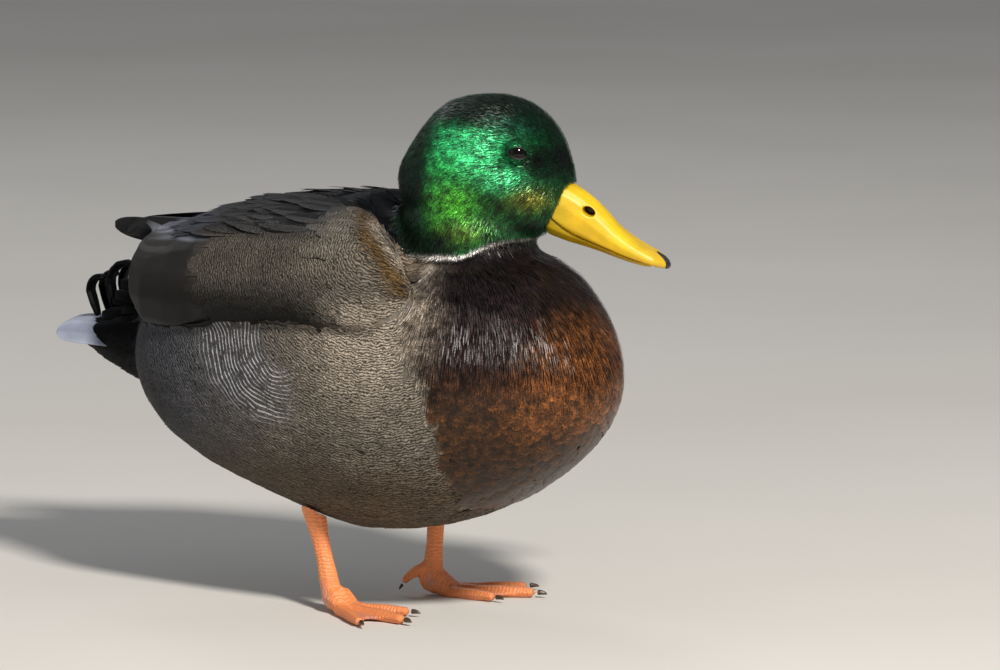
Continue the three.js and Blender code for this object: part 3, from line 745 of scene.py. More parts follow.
part, mid = skin["part"], skin["middle"]
midX, midZ = mid[:, 0], mid[:, 2]
collarGap = midZ - collarHeight(mid)
upper = ((part == head) | (part == neck)) & (collarGap > -2.0)
for side, sign in sides:
    out, fore, up = eyeAxes(sign)
    gap = mid - duck["eye" + side]
    ring = np.hypot(gap @ fore, gap @ up) / 4.9
    upper &= (ring > 1) | (gap @ out < -3)
frontMask = ((part == trunk) & (midX > breastEdge(mid) - 2)) | ((part == neck) & (midX > 52))
frontMask &= ~upper
wingMask = (part == wingRight) | (part == wingLeft)
blackMask = (part == tailCoverts) | ((part == trunk) & (midX + (midZ - 90) * 0.25 < -76))
mantleMask = ((part == trunk) | (part == neck)) & ~frontMask & ~upper & ~blackMask
mantleMask &= (midZ > 162) | ((midX < 40) & (midZ > 146)) | (part == neck)
wingOnly, _ = treeOf(["wing_right", "wing_left"])
wingGap = np.array([wingOnly.find_nearest(Vector(m))[3] for m in mid])
greyMask = (part == trunk) & ~frontMask & ~blackMask & ~mantleMask & ((wingGap > 4) | (midX > 52))
blackMask &= wingGap > 3


def headLength(p):
    u, w = headPlace(p)
    above = p[:, 2] - collarHeight(p)
    return (1.7 + 2.0 * soft(34, 0, u) + 0.8 * soft(-5, -30, w)) * (0.4 + 0.6 * soft(1, 6, above))


headCoat = {
    "shape": "strand", "spacing": 0.37, "length": headLength, "width": lambda p: 0.22 + 0.055 * headLength(p),
    "root": 0.1, "lift": 1.0, "stray": 0.24, "blend": 0.6, "sparkle": 0.6, "local": 1.0, "vary": 1.2,
}
for side, sign in sides:
    mask = upper & (np.sign((mid - duck["head"]) @ duck["aside"]) == sign)
    layCoat("headFeathers" + side, headCoat, mask, 11 + sign, headGloss)


breastCoat = {
    "shape": "slip", "spacing": 0.8, "length": 6.0, "width": 0.5, "root": 0.3, "lift": 1.2, "stray": 0.07,
    "blend": 0.9, "sparkle": 0.35, "local": 0.9, "vary": 1.2, "tip": 1.6, "tipShare": 0.4, "uneven": 0.5,
}
for side, sign in sides:
    mask = frontMask & (np.sign(mid[:, 1]) == sign) & (midZ > 101)
    layCoat("breastFeathers" + side, breastCoat, mask, 21 + sign, breastGloss)
scaleCoat = {
    "shape": "round", "spacing": 2.6, "length": 8.5, "width": 5.8, "root": 0.3, "lift": 1.2, "stray": 0.14,
    "blend": 0.6, "local": 0.2, "vary": 0.7, "hug": True, "camber": 0.12, "fringe": 6, "fringeLength": 0.8,
    "tip": 2.6, "tipShare": 0.8, "tipPower": 8, "uneven": 0.3, "shade": 0.85,
}
scaleMask = frontMask & (midZ < 110) & (midX > breastEdge(mid) + 1)
layCoat("breastScales", scaleCoat, scaleMask, 25, breastGloss)

flankCoat = {
    "shape": "round", "spacing": 4.4, "length": 17.0, "width": 10.5, "root": 0.3, "lift": 1.1, "stray": 0.06,
    "blend": 0.9, "local": 0.7, "vary": 0.08, "hug": True, "camber": 0.02, "fringe": 14, "fringeLength": 1.2,
    "uneven": 0.06,
}
layCoat("flankFeathers", flankCoat, greyMask, 31, greyFeather)

wingCoat = dict(flankCoat, spacing=4.8, length=18.0, width=10.5, lift=1.3, vary=0.1)
wingLow = (midZ > 134 + 3 * soft(-10, 20, midX) + 4 * soft(44, 60, midX)) & (midX < 78)
layCoat("wingFeathers", wingCoat, wingMask & (midX > -15) & wingLow, 41, wingFeather)
edgeCoat = dict(
    flankCoat, spacing=2.4, length=6.0, width=5.2, lift=0.9, vary=0.15, fringe=4, fringeLength=0.5)
layCoat("wingEdgeFeathers", edgeCoat, wingMask & (midX > -17) & ~wingLow, 43, wingFeather)
scapularCoat = dict(
    flankCoat, shape="pointed", spacing=5.2, length=28.0, width=8.5, vary=0.9, blend=0.7, stray=0.1,
    lift=lambda p: 1.7 + 1.2 * soft(-10, -26, p[:, 0]), shade=0.34, edge=2.8, reach=4.5)
scapularMask = wingMask & (midZ > 166 + 0.12 * np.abs(midX + 10)) & (midX > -44) & (midX < 30)
layCoat("scapularFeathers", scapularCoat, scapularMask, 45, wingFeather)

mantleCoat = dict(
    flankCoat, shape="pointed", spacing=3.6, length=14.0, width=7.0, vary=0.3, lift=1.6, blend=0.7)
layCoat("mantleFeathers", mantleCoat, mantleMask, 51, blackGloss)

blackCoat = dict(flankCoat, spacing=3.2, length=12.0, width=6.0, vary=0.5, lift=2.0, fringe=10, blend=0.7)
layCoat("tailCovertFeathers", blackCoat, blackMask, 61, blackGloss)

stripeCoat = {
    "shape": "slip", "spacing": 0.85, "length": 4.5, "width": 0.45, "root": 0.8, "lift": 1.7, "stray": 0.3,
    "blend": 0.8, "sparkle": 0.3, "local": 0.9, "vary": 0.7, "tip": 1.5, "tipShare": 0.5,
}
stripeMask = ~upper & (np.abs(pastWing(mid) - 1) < 6) & (midZ > 138) & (midZ < 180) & wingMask
layCoat("shoulderTufts", stripeCoat, stripeMask, 71, wingFeather)


# Skin, down and horn: a tint of its own in soft clouds over fine relief.
def mottled(name, values, **sockets):
    made, tree, shader, coords = newMaterial(name, **sockets)
    tint = addNode(tree, "Attribute", **tinted)
    colour, clouds = clouded(tree, coords, tint, *values["clouds"], values["shade"])
    connect(shader, Base_Color=colour)
    if "rough" in values:
        low, high = values["rough"]
        rough = addNode(tree, "MapRange", {"Value": clouds, "To Min": low, "To Max": high})
        connect(shader, Roughness=rough)
    if "relief" in values:
        scale, detail, strength, depth = values["relief"]
        fine = addNode(tree, "TexNoise", {"Vector": coords, "Scale": scale, "Detail": detail})
        bump = addNode(tree, "Bump", {"Strength": strength, "Distance": depth, "Height": fine})
        connect(shader, Normal=bump)
    return made


# Skin under the coat: down and feather bases 1 mm apart, matt, in the coat's own colours.
down = mottled("featherBaseDown", {
    "clouds": (900, 3), "shade": [(0.3, 0.6), (0.7, 1.2)], "relief": (900, 3, 0.5, 0.0004)},
    Roughness=0.75, IOR=1.45)
setTint(bodySkin.data, plumage(skin["place"], skin["normal"], skin["zone"]) * 0.7)
smoothed(bodySkin)
wear(bodySkin, down, flesh)
print("coat laid")


# Bill: keratin horn over bone, waxy, yellow from fat and carotene, slightly translucent at the rims;
# clouds of 8 mm and a grain of 1 mm.
horn = mottled("yellowBillHorn", {
    "clouds": (120, 5), "shade": [(0.3, 0.86), (0.7, 1.1)], "rough": (0.36, 0.55),
    "relief": (900, 3, 0.25, 0.0003)},
    IOR=1.54, Subsurface_Weight=0.12, Subsurface_Scale=0.004, Subsurface_Radius=(1.0, 0.55, 0.1))


def billColours(p, n):
    u, _ = headPlace(p)
    out, paint = painting(len(p), "#dcb808")
    # by the way the surface faces: the underside of the bill darker, painted shade
    paint(soft(-0.1, 0.8, n[:, 2]), "#dcb60e", 0.7)
    paint(soft(0.35, -0.5, n[:, 2]), "#c39306", 0.7)
    paint(soft(56, 74, u), "#d3ab2c", 0.6)
    paint(soft(40, 30, u), "#b8a312", 0.5)
    return out


billValues = {"pieces": {"billUpper": "bill_upper", "billLower": "bill_lower"}, "voxel": 0.5, "rounds": 5}
for name, node in billValues["pieces"].items():
    made = remeshed(meshObject(name, mergedCopy([node])), billValues["voxel"], billValues["rounds"])
    paintPiece(made, billColours)
    wear(made, horn, [node])


# Horn of the nail and claws: hard, dense keratin with a dull polish, black or brown.
def darkHorn(name, dark, pale):
    made, tree, shader, coords = newMaterial(name, IOR=1.54)
    cloud = addNode(tree, "TexNoise", {"Vector": coords, "Scale": 500, "Detail": 4})  # 2 mm
    stops = [(0.3, linear(dark)), (0.75, linear(pale))]
    connect(shader, Base_Color=addNode(tree, "ValToRGB", {"Fac": cloud}, stops=stops),
            Roughness=addNode(tree, "MapRange", {"Value": cloud, "To Min": 0.28, "To Max": 0.5}))
    return made


blackHornAndShade = darkHorn("blackHornAndShade", "#0d0c0b", "#2b2723")
clawHorn = darkHorn("brownClawHorn", "#2a1d14", "#5a4434")


nostrilShadeValues = {"radii": (4.2, 1.6, 3.2), "ahead": 44.5, "rise": -18.4, "segments": 16, "rings": 10}

# The nostril goes right through the bill; a dark egg in the nail's black horn closes its middle, painted
# shade inside the hole.
middle = duck["head"] + duck["ahead"] * nostrilShadeValues["ahead"] + np.array([0, 0, nostrilShadeValues["rise"]])
nostrilShade = makeEgg("nostrilShadeFill", nostrilShadeValues, (1, 0, 0), duck["ahead"], middle)
wear(nostrilShade, blackHornAndShade, [])

nailValues = {"voxel": 0.35, "rounds": 4}
nail = remeshed(meshObject("billNail", mergedCopy(["bill_nail"])), nailValues["voxel"], nailValues["rounds"])
wear(nail, blackHornAndShade, ["bill_nail"])


# Legs and feet: scaly skin, orange, waxy where the light strikes it.
def legMaterial():
    made, tree, shader, coords = newMaterial(
        "orangeLegSkin", IOR=1.5, Roughness=0.42, Subsurface_Weight=0.15, Subsurface_Scale=0.003,
        Subsurface_Radius=(1.0, 0.35, 0.15))
    reach = addNode(tree, "Attribute", output="Fac", attribute_name="scute")
    wobble = addNode(tree, "TexNoise", {"Vector": coords, "Scale": 350, "Detail": 2})  # 3 mm
    wave = waves(tree, reach, 1.6, wobble, 2.6)
    cells = addNode(tree, "TexVoronoi", {"Vector": coords, "Scale": 850}, "Distance",  # 1.2 mm
                    feature="DISTANCE_TO_EDGE")
    plates = addNode(tree, "ValToRGB", {"Fac": cells}, stops=[(0.0, 0.0), (0.25, 1.0)])
    total = addNode(tree, "Math", {0: wave, 1: 0.8, 2: plates}, operation="MULTIPLY_ADD")
    shade = addNode(tree, "MapRange", {
        "Value": total, "From Min": -0.8, "From Max": 1.2, "To Min": 0.84, "To Max": 1.07})
    tint = addNode(tree, "Attribute", **tinted)
    connect(shader, Base_Color=addNode(tree, "Mix", {0: 1.0, 6: tint, 7: shade}, **times),
            Normal=addNode(tree, "Bump", {"Strength": 0.45, "Distance": 0.0003, "Height": total}))
    return made


feet = {
    "Right": {"foot": "foot_right", "leg": "leg_right", "ball": (21.4, -32.0),
              "toes": [(60, -23.5), (70.5, -43.5), (58, -61.5), (9, -24)]},
    "Left": {"foot": "foot_left", "leg": "leg_left", "ball": (28.4, 32.0),
             "toes": [(68, 29.5), (75, 51.5), (60, 67), (18, 22)]},
}
footValues = {"swell": 0.4, "voxel": 0.6, "rounds": 4, "web": (3.2, 5.5), "instep": (16, 9)}
clawValues = {"voxel": 0.25, "rounds": 4, "rootShare": 12, "size": 0.68}
legSkin = legMaterial()


# Leg and foot are one scaly skin; grown a little before the voxels so that they close on each other.
def makeFoot(side, v):
    swell = footValues["swell"]
    made = meshObject("foot" + side, mergedCopy([v["foot"], v["leg"]], swell * mm))
    remeshed(made, footValues["voxel"], footValues["rounds"])
    places, normals = surfaceOf(made)
    places = places - normals * swell
    setPlaces(made, places)
    ball = np.array(v["ball"])
    best, reach = np.full(len(places), 1e9), np.zeros(len(places))
    for tip in v["toes"]:
        way = np.array(tip) - ball
        size = np.linalg.norm(way)
        t = np.clip((places[:, :2] - ball) @ way / size ** 2, 0, 1)
        d = np.linalg.norm(places[:, :2] - ball - t[:, None] * way, axis=1)
        reach = np.where(d < best, t * size, reach)
        best = np.minimum(best, d)
    low = soft(*footValues["instep"], places[:, 2])
    out, paint = painting(len(places), "#f2935a")
    paint(soft(*footValues["web"], best) * low, "#dd957c")
    # the skin is painted darker toward the floor: painted shade where the foot meets the ground
    setTint(made.data, out * (0.85 + 0.2 * soft(0, 10, places[:, 2]))[:, None])
    setLayer(made.data, "scute", reach * low + places[:, 2] * (1 - low))
    wear(made, legSkin, [v["foot"], v["leg"]])


# A claw, drawn back a little into the end of its toe.
def makeClaw(side, toe, ball):
    node = "claw_" + side.lower() + "_" + toe
    claw = meshObject("claw" + side + toe.title(), mergedCopy([node]))
    remeshed(claw, clawValues["voxel"], clawValues["rounds"])
    places, _ = surfaceOf(claw)
    gap = np.linalg.norm(places[:, :2] - ball, axis=1)
    base = places[gap <= np.percentile(gap, clawValues["rootShare"])].mean(0)
    setPlaces(claw, base + (places - base) * clawValues["size"])
    wear(claw, clawHorn, [node])


for side, v in feet.items():
    makeFoot(side, v)
    for toe in ("inner", "middle", "outer", "back"):
        makeClaw(side, toe, np.array(v["ball"]))
print("bill and feet made")


# The eye: a dark brown iris and black pupil under a wet, clear cornea; fibres 0.6 mm apart.
wetEye = mottled("wetDarkEye", {"clouds": (1800, 3), "shade": [(0.3, 0.6), (0.7, 1.3)]},
                 Roughness=0.1, IOR=1.38, Coat_Weight=0.35, Coat_Roughness=0.03, Coat_IOR=1.38,
                 Specular_IOR_Level=0.25)


def makeEye(name, node, centre, outward):
    made = makeEgg(name, eyeValues, (0, 0, 1), outward, centre)

    def painter(p, n):
        away = p - centre
        height = away @ outward
        ring = np.linalg.norm(away - height[:, None] * outward, axis=1)
        ring = np.where(height > 0, ring, 9)
        out, paint = painting(len(p), "#050404")
        paint(soft(-0.15, 0.2, ring - eyeValues["pupil"]), "#0d0605")
        paint(soft(-0.3, 0.3, ring - eyeValues["iris"]), "#0a0808")
        return out

    paintPiece(made, painter)
    wear(made, wetEye, [node])
    return made


# Eyelids: thin bare skin, grey-brown, with a grain of 0.4 mm; a rolled rim on the eyeball runs out
# under the feathers.
lidSkin = mottled("eyelidSkin", {
    "clouds": (2500, 2), "shade": [(0.3, 0.6), (0.7, 1.3)], "relief": (2500, 2, 0.4, 0.0001)},
    Roughness=0.5, IOR=1.45)
lidValues = {
    "steps": 64, "outer": 5.5, "feathers": 900,
    "rings": [(0.0, 5.24), (0.06, 5.4), (0.16, 5.46), (0.35, 5.4), (0.6, 5.32), (0.85, 5.26), (1.0, 5.22),
              (1.12, 5.15)],
}


# A cap over the eyeball, from the almond opening out to where the feathered skin meets the ball.
def lidPlace(share, radius, turn, axes):
    outward, forward, up = axes
    wide, tall = eyeValues["opening"]
    c, s = math.cos(turn), math.sin(turn)
    a = (wide * c) * (1 - share) + lidValues["outer"] * c * share
    b = (tall * math.copysign(abs(s) ** 1.15, s) - 0.35 * c) * (1 - share) + lidValues["outer"] * s * share
    high = math.sqrt(max(radius ** 2 - min(math.hypot(a, b), radius * 0.98) ** 2, 0.1))
    return forward * a + up * b + outward * high


def makeLids(name, centre, axes, material):
    built, rings, steps = bmesh.new(), [], lidValues["steps"]
    for share, radius in lidValues["rings"]:
        ring = []
        for step in range(steps):
            wrinkle = 1 + 0.01 * math.sin(step * 1.9) * soft(0, 0.3, share)
            place = centre + lidPlace(share, radius, 2 * math.pi * step / steps, axes) * wrinkle
            ring.append(built.verts.new(place * mm))
        rings.append(ring)
    for inner, outer in zip(rings, rings[1:]):
        for step in range(steps):
            after = (step + 1) % steps
            built.faces.new((inner[step], inner[after], outer[after], outer[step]))
    bmesh.ops.recalc_face_normals(built, faces=built.faces)
    made = meshObject(name, built)
    modify(made, "SUBSURF", levels=1, render_levels=1)
    applied(made)
    smoothed(made)

    def painter(p, n):
        away = p - centre
        wide, tall = eyeValues["opening"]
        feathered = soft(1.1, 1.35, np.hypot(away @ axes[1] / wide, away @ axes[2] / tall))[:, None]
        return linear("#060505") * (1 - feathered) + plumage(p, n, np.full(len(p), head)) * 0.8 * feathered

    paintPiece(made, painter)
    wear(made, material, [])


# Tiny feathers run over the lids up to a bare rim.
def lidRoots(centre, axes, seed):
    rng = np.random.default_rng(seed)
    places, normals = [], []
    for _ in range(int(lidValues["feathers"] / thin ** 2)):
        share = 0.22 + 0.93 * rng.random() ** 0.8
        radius = np.interp(share, [0.3, 1.0, 1.2], [5.46, 5.3, 5.2])
        place = lidPlace(share, radius, rng.random() * 2 * math.pi, axes)
        places.append(centre + place)
        normals.append(place / np.linalg.norm(place))
    nearest = [skinTree.find_nearest(q)[2] for q in places]
    return {"place": np.array(places), "normal": np.array(normals), "uv": skin["uv"][nearest].mean(1),
            "zone": np.full(len(places), head), "random": rng.random((len(places), 6))}


lidCoat = dict(headCoat, length=1.6, width=0.34, root=0.0, lift=0.3, stray=0.4, vary=1.4)
for side, sign in sides:
    axes = eyeAxes(sign)
    middle = duck["eye" + side] - axes[0] * eyeValues["sunk"]
    makeEye("eye" + side, "eye_" + side.lower(), middle, axes[0])
    makeLids("eyelids" + side, middle, axes, lidSkin)
    found = lidRoots(middle, axes, 81 + sign)
    layCoat("eyelidFeathers" + side, lidCoat, None, 83 + sign, headGloss, found)


# Flight and tail feathers: stiff keratin vanes, satin, barbs zipped flat along a pale shaft.
def stiffVane(name, roughness, specular):
    made, tree, shader, coords = newMaterial(name, Roughness=roughness, IOR=1.54, Specular_IOR_Level=specular)
    barbs = barbRidges(tree, 1.2, 0.7)
    streak = addNode(tree, "MapRange", {
        "Value": barbs, "From Min": -1, "From Max": 1, "To Min": 0.9, "To Max": 1.05})
    tint = addNode(tree, "Attribute", **tinted)
    streaked = addNode(tree, "Mix", {0: 1.0, 6: tint, 7: streak}, **times)
    colour, _ = clouded(tree, coords, streaked, 90, 4, [(0.3, 0.8), (0.7, 1.15)])  # 11 mm
    bump = addNode(tree, "Bump", {"Strength": 0.35, "Distance": 0.0002, "Height": barbs})
    connect(shader, Base_Color=colour, Normal=bump)
    return made


vaneShapes = {
    "blunt": ([0, 0.15, 0.35, 0.55, 0.75, 0.88, 0.96, 1.0], [0.5, 0.8, 0.97, 1, 0.98, 0.86, 0.6, 0.22]),
    "sharp": ([0, 0.15, 0.35, 0.55, 0.75, 0.88, 0.96, 1.0], [0.4, 0.75, 0.97, 1, 0.82, 0.52, 0.26, 0.05]),
}


def alongPath(path, share):
    spots = np.array(path, float)
    steps = np.concatenate([[0], np.cumsum(np.linalg.norm(np.diff(spots, axis=0), axis=1))])
    at = np.clip(share, 0, 1) * steps[-1]
    straight = np.stack([np.interp(at, steps, spots[:, k]) for k in range(3)])
    around = [np.interp(np.clip(at + d, 0, steps[-1]), steps, spots[:, k]) for d in (-4, 4) for k in range(3)]
    return straight * 0.5 + (np.array(around[:3]) + np.array(around[3:])) * 0.25


# Long vanes laid one by one: each has a path, a width, two colours and how far it stands off what it
# lies on. The shaft's dark line runs down the middle column.
def laidVanes(name, vanes, thickness, material, nodes=(), tree=outline):
    built = bmesh.new()
    tintLayer = built.verts.layers.float_color.new("tint")
    uvLayer = built.loops.layers.uv.new("barbs")
    acrossShares = np.linspace(-1, 1, 9).tolist()
    for vane in vanes:
        along, wide = vaneShapes[vane.get("shape", "blunt")]
        low, high = vane["lift"]
        marked = "tone" not in vane
        dark, pale = (1, 1.25) if marked else (linear(vane["tone"]), linear(vane["edge"]))
        for sign in vane.get("sides", (-1, 1)):
            path = [(x, y * sign, z) for x, y, z in vane["path"]]
            up = np.array(vane["up"]) * (1, sign, 1)
            length = sum(math.dist(a, b) for a, b in zip(path, path[1:]))
            zone = np.array([wingLeft if sign > 0 else wingRight])
            rows = []
            for t, w in zip(along, wide):
                middle = alongPath(path, t)
                way = unit(alongPath(path, min(t + 0.05, 1)) - alongPath(path, max(t - 0.05, 0)))
                across = unit(np.cross(up, way)) * sign
                row = []
                for s in acrossShares:
                    place = middle + across * (s * w * vane["width"] / 2)
                    place = place - up * vane.get("droop", 0) * max(-s, 0) ** 1.5
                    face = up
                    if t < vane.get("snap", 0):
                        q, normal, _, _ = tree.find_nearest(Vector(place))
                        share = soft(vane["snap"], vane["snap"] - 0.25, t)
                        place = place * (1 - share) + np.array(q) * share
                        face = unit(up * (1 - share) + np.array(normal) * share)
                    lift = low + (high - low) * t
                    place = place + face * (lift + vane.get("crown", 0.5) * (1 - s * s) * w)
                    vert = built.verts.new(place * mm)
                    rim = min(abs(s) ** 4 * 0.8 + max(t - 0.85, 0) * 2, 1)
                    colour = dark * (1 - rim) + pale * rim
                    if marked:
                        found = plumage(np.array([place]), np.array([face]), zone)[0]
                        colour = found * colour * vane.get("shade", 1)
                    if s == 0:
                        colour = colour * vane.get("shaft", 0.7)
                    vert[tintLayer] = (*colour, 1)
                    row.append(vert)
                rows.append(row)
            for r in range(len(rows) - 1):
                for c in range(len(acrossShares) - 1):
                    spots = ((r, c), (r + 1, c), (r + 1, c + 1), (r, c + 1))
                    if sign > 0:
                        spots = spots[::-1]
                    quad = built.faces.new([rows[i][j] for i, j in spots])
                    for loop, (i, j) in zip(quad.loops, spots):
                        aside = acrossShares[j] * wide[i] * vane["width"] / 2
                        loop[uvLayer].uv = (aside, along[i] * length)
    made = meshObject(name, built)
    modify(made, "SOLIDIFY", thickness=thickness * mm, offset=0)
    modify(made, "SUBSURF", levels=1, render_levels=1)
    applied(made)
    smoothed(made)
    wear(made, material, list(nodes))
    return made


wingVane = stiffVane("foldedWingVane", 0.5, 0.25)
tailVane = stiffVane("tailVane", 0.5, 0.4)
outSide, upSide = (0.0, 0.9, 0.44), (0.0, 0.5, 0.87)


bedValues = {"cut": -20.0, "voxel": 1.0, "rounds": 5, "sunk": 0.3, "sunkInFront": 2.1, "front": (-42, -26)}


# The folded wing behind its coat: a smooth bed, sunk under the coat where that ends, for the long
# vanes to lie on.
def makeFolded(name, node):
    v, built = bedValues, mergedCopy([node])
    bmesh.ops.bisect_plane(built, geom=built.verts[:] + built.edges[:] + built.faces[:],
                           plane_co=(v["cut"] * mm, 0, 0), plane_no=(1, 0, 0), clear_outer=True)
    bmesh.ops.holes_fill(built, edges=[e for e in built.edges if e.is_boundary])
    made = remeshed(meshObject(name, built), v["voxel"], v["rounds"])
    places, normals = surfaceOf(made)
    places = places - normals * (v["sunk"] + v["sunkInFront"] * soft(*v["front"], places[:, 0]))[:, None]
    setPlaces(made, places)
    zone = np.where(places[:, 1] > 0, wingLeft, wingRight)
    paintPiece(made, lambda p, n: plumage(p, n, zone) * 0.8)
    loops = np.empty(len(made.data.loops), np.int32)
    made.data.loops.foreach_get("vertex_index", loops)
    barbs = np.stack([places[:, 2] - 150, -places[:, 0]], 1)[loops]
    made.data.uv_layers.new(name="barbs").uv.foreach_set("vector", barbs.astype(np.float32).ravel())
    wear(made, wingVane, [])
    return [tuple(q) for q in places], [tuple(q.vertices) for q in made.data.polygons]


beds, bedFaces = [], []
for side, _ in sides:
    found, faces = makeFolded("wingBed" + side, "wing_" + side.lower())
    bedFaces += [tuple(len(beds) + i for i in face) for face in faces]
    beds += found
wingBed = BVHTree.FromPolygons(beds, bedFaces)

# Secondaries below and tertials above, each lying over the one under it.
flightValues = {"width": 13.5, "lift": 0.1, "step": 0.09}
flightPaths = [
    [(-23, 66, 138), (-50, 60, 138), (-78, 50, 141), (-99, 38, 145)],
    [(-23, 66, 145), (-50, 61, 145), (-80, 50, 148), (-104, 36, 150)],
    [(-23, 66, 152), (-52, 61, 152), (-82, 50, 154), (-108, 34, 155)],
    [(-23, 65, 158), (-52, 60, 158), (-84, 48, 159), (-112, 30, 159)],
    [(-23, 58, 167), (-54, 52, 166), (-84, 40, 164), (-114, 23, 162)],
    [(-22, 48, 173), (-50, 42, 171), (-78, 33, 168), (-106, 20, 165)],
    [(-21, 36, 177), (-46, 32, 174), (-70, 26, 171), (-95, 18, 167)],
]
flight = []
for step, path in enumerate(flightPaths):
    tertial = step > 3
    flight.append({
        "path": path, "up": upSide if tertial else outSide, "width": flightValues["width"] + 2 * tertial,
        "snap": 1.3, "lift": (0.0, flightValues["lift"] + flightValues["step"] * step), "crown": 0.2})
laidVanes("secondariesAndTertials", flight, 0.25, wingVane, tree=wingBed)

primaries = [
    {"path": [(-60, 39, 155), (-90, 29, 154), (-112, 20, 154.5), (-134, 10, 158)], "up": outSide, "width": 15,
     "snap": 0.3, "lift": (-0.4, 0.0), "sides": (1,), "shade": 0.8, "crown": 0.2},
    {"path": [(-30, 36, 168), (-70, 26, 165), (-98, 18, 162), (-121, 13, 160)], "up": upSide, "width": 12,
     "snap": 0.6, "lift": (-0.2, 0.1), "sides": (1,), "crown": 0.2},
    {"path": [(-20, 66, 127), (-50, 60, 127), (-70, 53, 126), (-80, 49, 127)], "up": outSide, "width": 6,
     "shape": "sharp", "snap": 1.3, "lift": (-0.8, -0.2), "shade": 0.7},
]
laidVanes("primaries", primaries, 0.25, wingVane)

tailValues = {"root": (-96.0, 0.0, 116.0), "spread": 26, "length": 51, "count": 8, "width": 13}


# The tail is a low roof: the middle pair on top, each outer vane lower and tilted further out.
def tailVanes():
    v, found = tailValues, []
    for step in range(v["count"]):
        share = step / (v["count"] - 1)
        angle = math.radians(v["spread"] * share)
        start = np.array(v["root"]) + np.array([0, 2 + 13 * share, -5.5 * share])
        reach = v["length"] * (1 - 0.12 * share)
        end = start + np.array([-math.cos(angle) * reach, math.sin(angle) * reach * 0.8, 4.0 * share])
        middle = (start + end) / 2 + np.array([0, 0, 0.8])
        tilt = math.radians(12 + 34 * share)
        found.append({
            "path": [tuple(start), tuple(middle), tuple(end)], "up": (0, math.sin(tilt), math.cos(tilt)),
            "width": v["width"], "tone": "#6b7080" if share < 0.3 else "#868c9f", "edge": "#a2a8ba",
            "lift": (-0.25 * step, -0.25 * step), "crown": 0.3, "shaft": 0.9})
    return found


laidVanes("tailFan", tailVanes(), 0.25, tailVane, ["tail_fan"])

# Black upper coverts stand up behind the curls and close the gap to the wings: the root of each, then
# where its tip is, in x, y and z.
rumpVanes = []
rumpValues = {
    "width": 11, "tone": "#030304", "edge": "#060709", "shape": "sharp", "lift": (0, 0), "crown": 0.8,
    "up": (0, 0.35, 0.94), "droop": 2.5,
}
for x, y, z, far, high in (
        (-74, 3, 138, -104, 147), (-74, 9, 137, -103, 143), (-76, 14, 134, -105, 138),
        (-78, 3, 134, -108, 140), (-78, 9, 132, -110, 136), (-80, 15, 129, -112, 131),
        (-84, 5, 130, -118, 131), (-86, 12, 127, -120, 127), (-90, 18, 122, -122, 121),
        (-84, 22, 126, -108, 124), (-92, 4, 126, -126, 121), (-94, 14, 120, -124, 118),
        (-80, 6, 140, -112, 145), (-80, 12, 137, -111, 141), (-82, 17, 133, -112, 136),
        (-84, 20, 129, -113, 131), (-92, 9, 124, -128, 119.5), (-92, 20, 118, -123, 116)):
    middle = ((x + far) / 2, y, (z + high) / 2 + 2.5)
    rumpVanes.append(dict(rumpValues, path=[(x, y, z), middle, (far, y * 0.8, high)]))
rumpSideValues = dict(rumpValues, up=(0, 0.9, 0.44), width=15, edge="#050506", droop=0)
for x, y, z, far, side, high in (
        (-76, 14, 127, -108, 9, 138), (-78, 16, 120, -113, 10, 128), (-74, 12, 134, -103, 8, 145),
        (-80, 18, 114, -117, 12, 120), (-72, 18, 130, -98, 12, 140)):
    middle = ((x + far) / 2, (y + side) / 2 + 2, (z + high) / 2 + 1)
    rumpVanes.append(dict(rumpSideValues, path=[(x, y, z), middle, (far, side, high)]))
laidVanes("rumpFeathers", rumpVanes, 0.3, blackGloss)

curlMaterial = glossFeather("curlFeather", 0.0, 0.5, 0.08, (0.5, 0.8, 0.9))
curlValues = {"swell": 0.45, "voxel": 0.4, "rounds": 3}
for node in ("curl_rear_right", "curl_rear_left", "curl_front_right", "curl_front_left"):
    words = node.split("_")
    made = meshObject(words[0] + words[1].title() + words[2].title(),
                      mergedCopy([node], curlValues["swell"] * mm))
    remeshed(made, curlValues["voxel"], curlValues["rounds"])
    paintPiece(made, lambda p, n: np.tile(linear("#020203"), (len(p), 1)))
    wear(made, curlMaterial, [node])
print("tail made")


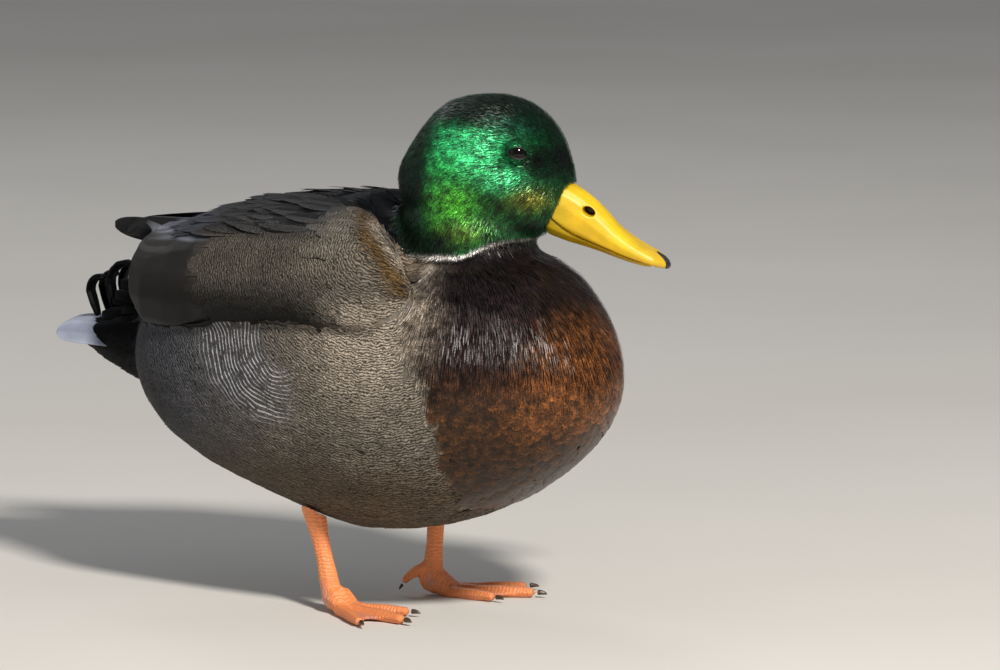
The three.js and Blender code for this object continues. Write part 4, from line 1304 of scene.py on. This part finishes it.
def makeFloor():
    built = bmesh.new()
    bmesh.ops.create_grid(built, x_segments=2, y_segments=2, size=20.0)
    made = meshObject("floor", built)
    surface, tree, shader, coords = newMaterial("paleStudioFloor", Roughness=0.85)
    cloud = addNode(tree, "TexNoise", {"Vector": coords, "Scale": 3.0, "Detail": 2})  # 0.3 m
    stops = [(0.3, linear("#d6d3cd")), (0.7, linear("#dcd9d4"))]
    connect(shader, Base_Color=addNode(tree, "ValToRGB", {"Fac": cloud}, stops=stops))
    made.data.materials.append(surface)


def aimed(made, place, aim):
    made.location = place
    made.rotation_mode = "QUATERNION"
    made.rotation_quaternion = (aim - place).to_track_quat("-Z", "Y")


def areaLight(name, place, aim, size, power, colour):
    lamp = bpy.data.lights.new(name, "AREA")
    lamp.shape, lamp.size, lamp.energy, lamp.color = "DISK", size, power, colour
    aimed(linked(name, lamp), Vector(place), Vector(aim))


makeFloor()
target = (0.02, 0.0, 0.12)
areaLight("key", (1.75, -1.15, 1.7), target, 0.35, 85, (1.0, 0.95, 0.88))
areaLight("fill", (-1.0, -2.2, 0.8), target, 1.8, 4, (0.9, 0.94, 1.0))
areaLight("rim", (-1.4, 1.2, 1.6), target, 0.8, 6, (0.95, 0.97, 1.0))
world = bpy.data.worlds.new("studio")
world.use_nodes = True
background = world.node_tree.nodes["Background"]
background.inputs["Color"].default_value = (0.86, 0.88, 0.92, 1)
background.inputs["Strength"].default_value = 0.24
bpy.context.scene.world = world
bpy.context.scene.view_settings.view_transform = "Standard"

cameraValues = {
    "aim": (0.0657, 0.0310, 0.1191), "back": (0.5693, -0.8131, 0.1219), "distance": 3.0, "lens": 245.45,
    "sensor": 36,
}
lens = bpy.data.cameras.new("camera")
lens.lens, lens.sensor_width = cameraValues["lens"], cameraValues["sensor"]
camera = linked("camera", lens)
middle, back = Vector(cameraValues["aim"]), Vector(cameraValues["back"]).normalized()
aimed(camera, middle + back * cameraValues["distance"], middle)
bpy.context.scene.camera = camera

bpy.context.view_layer.update()
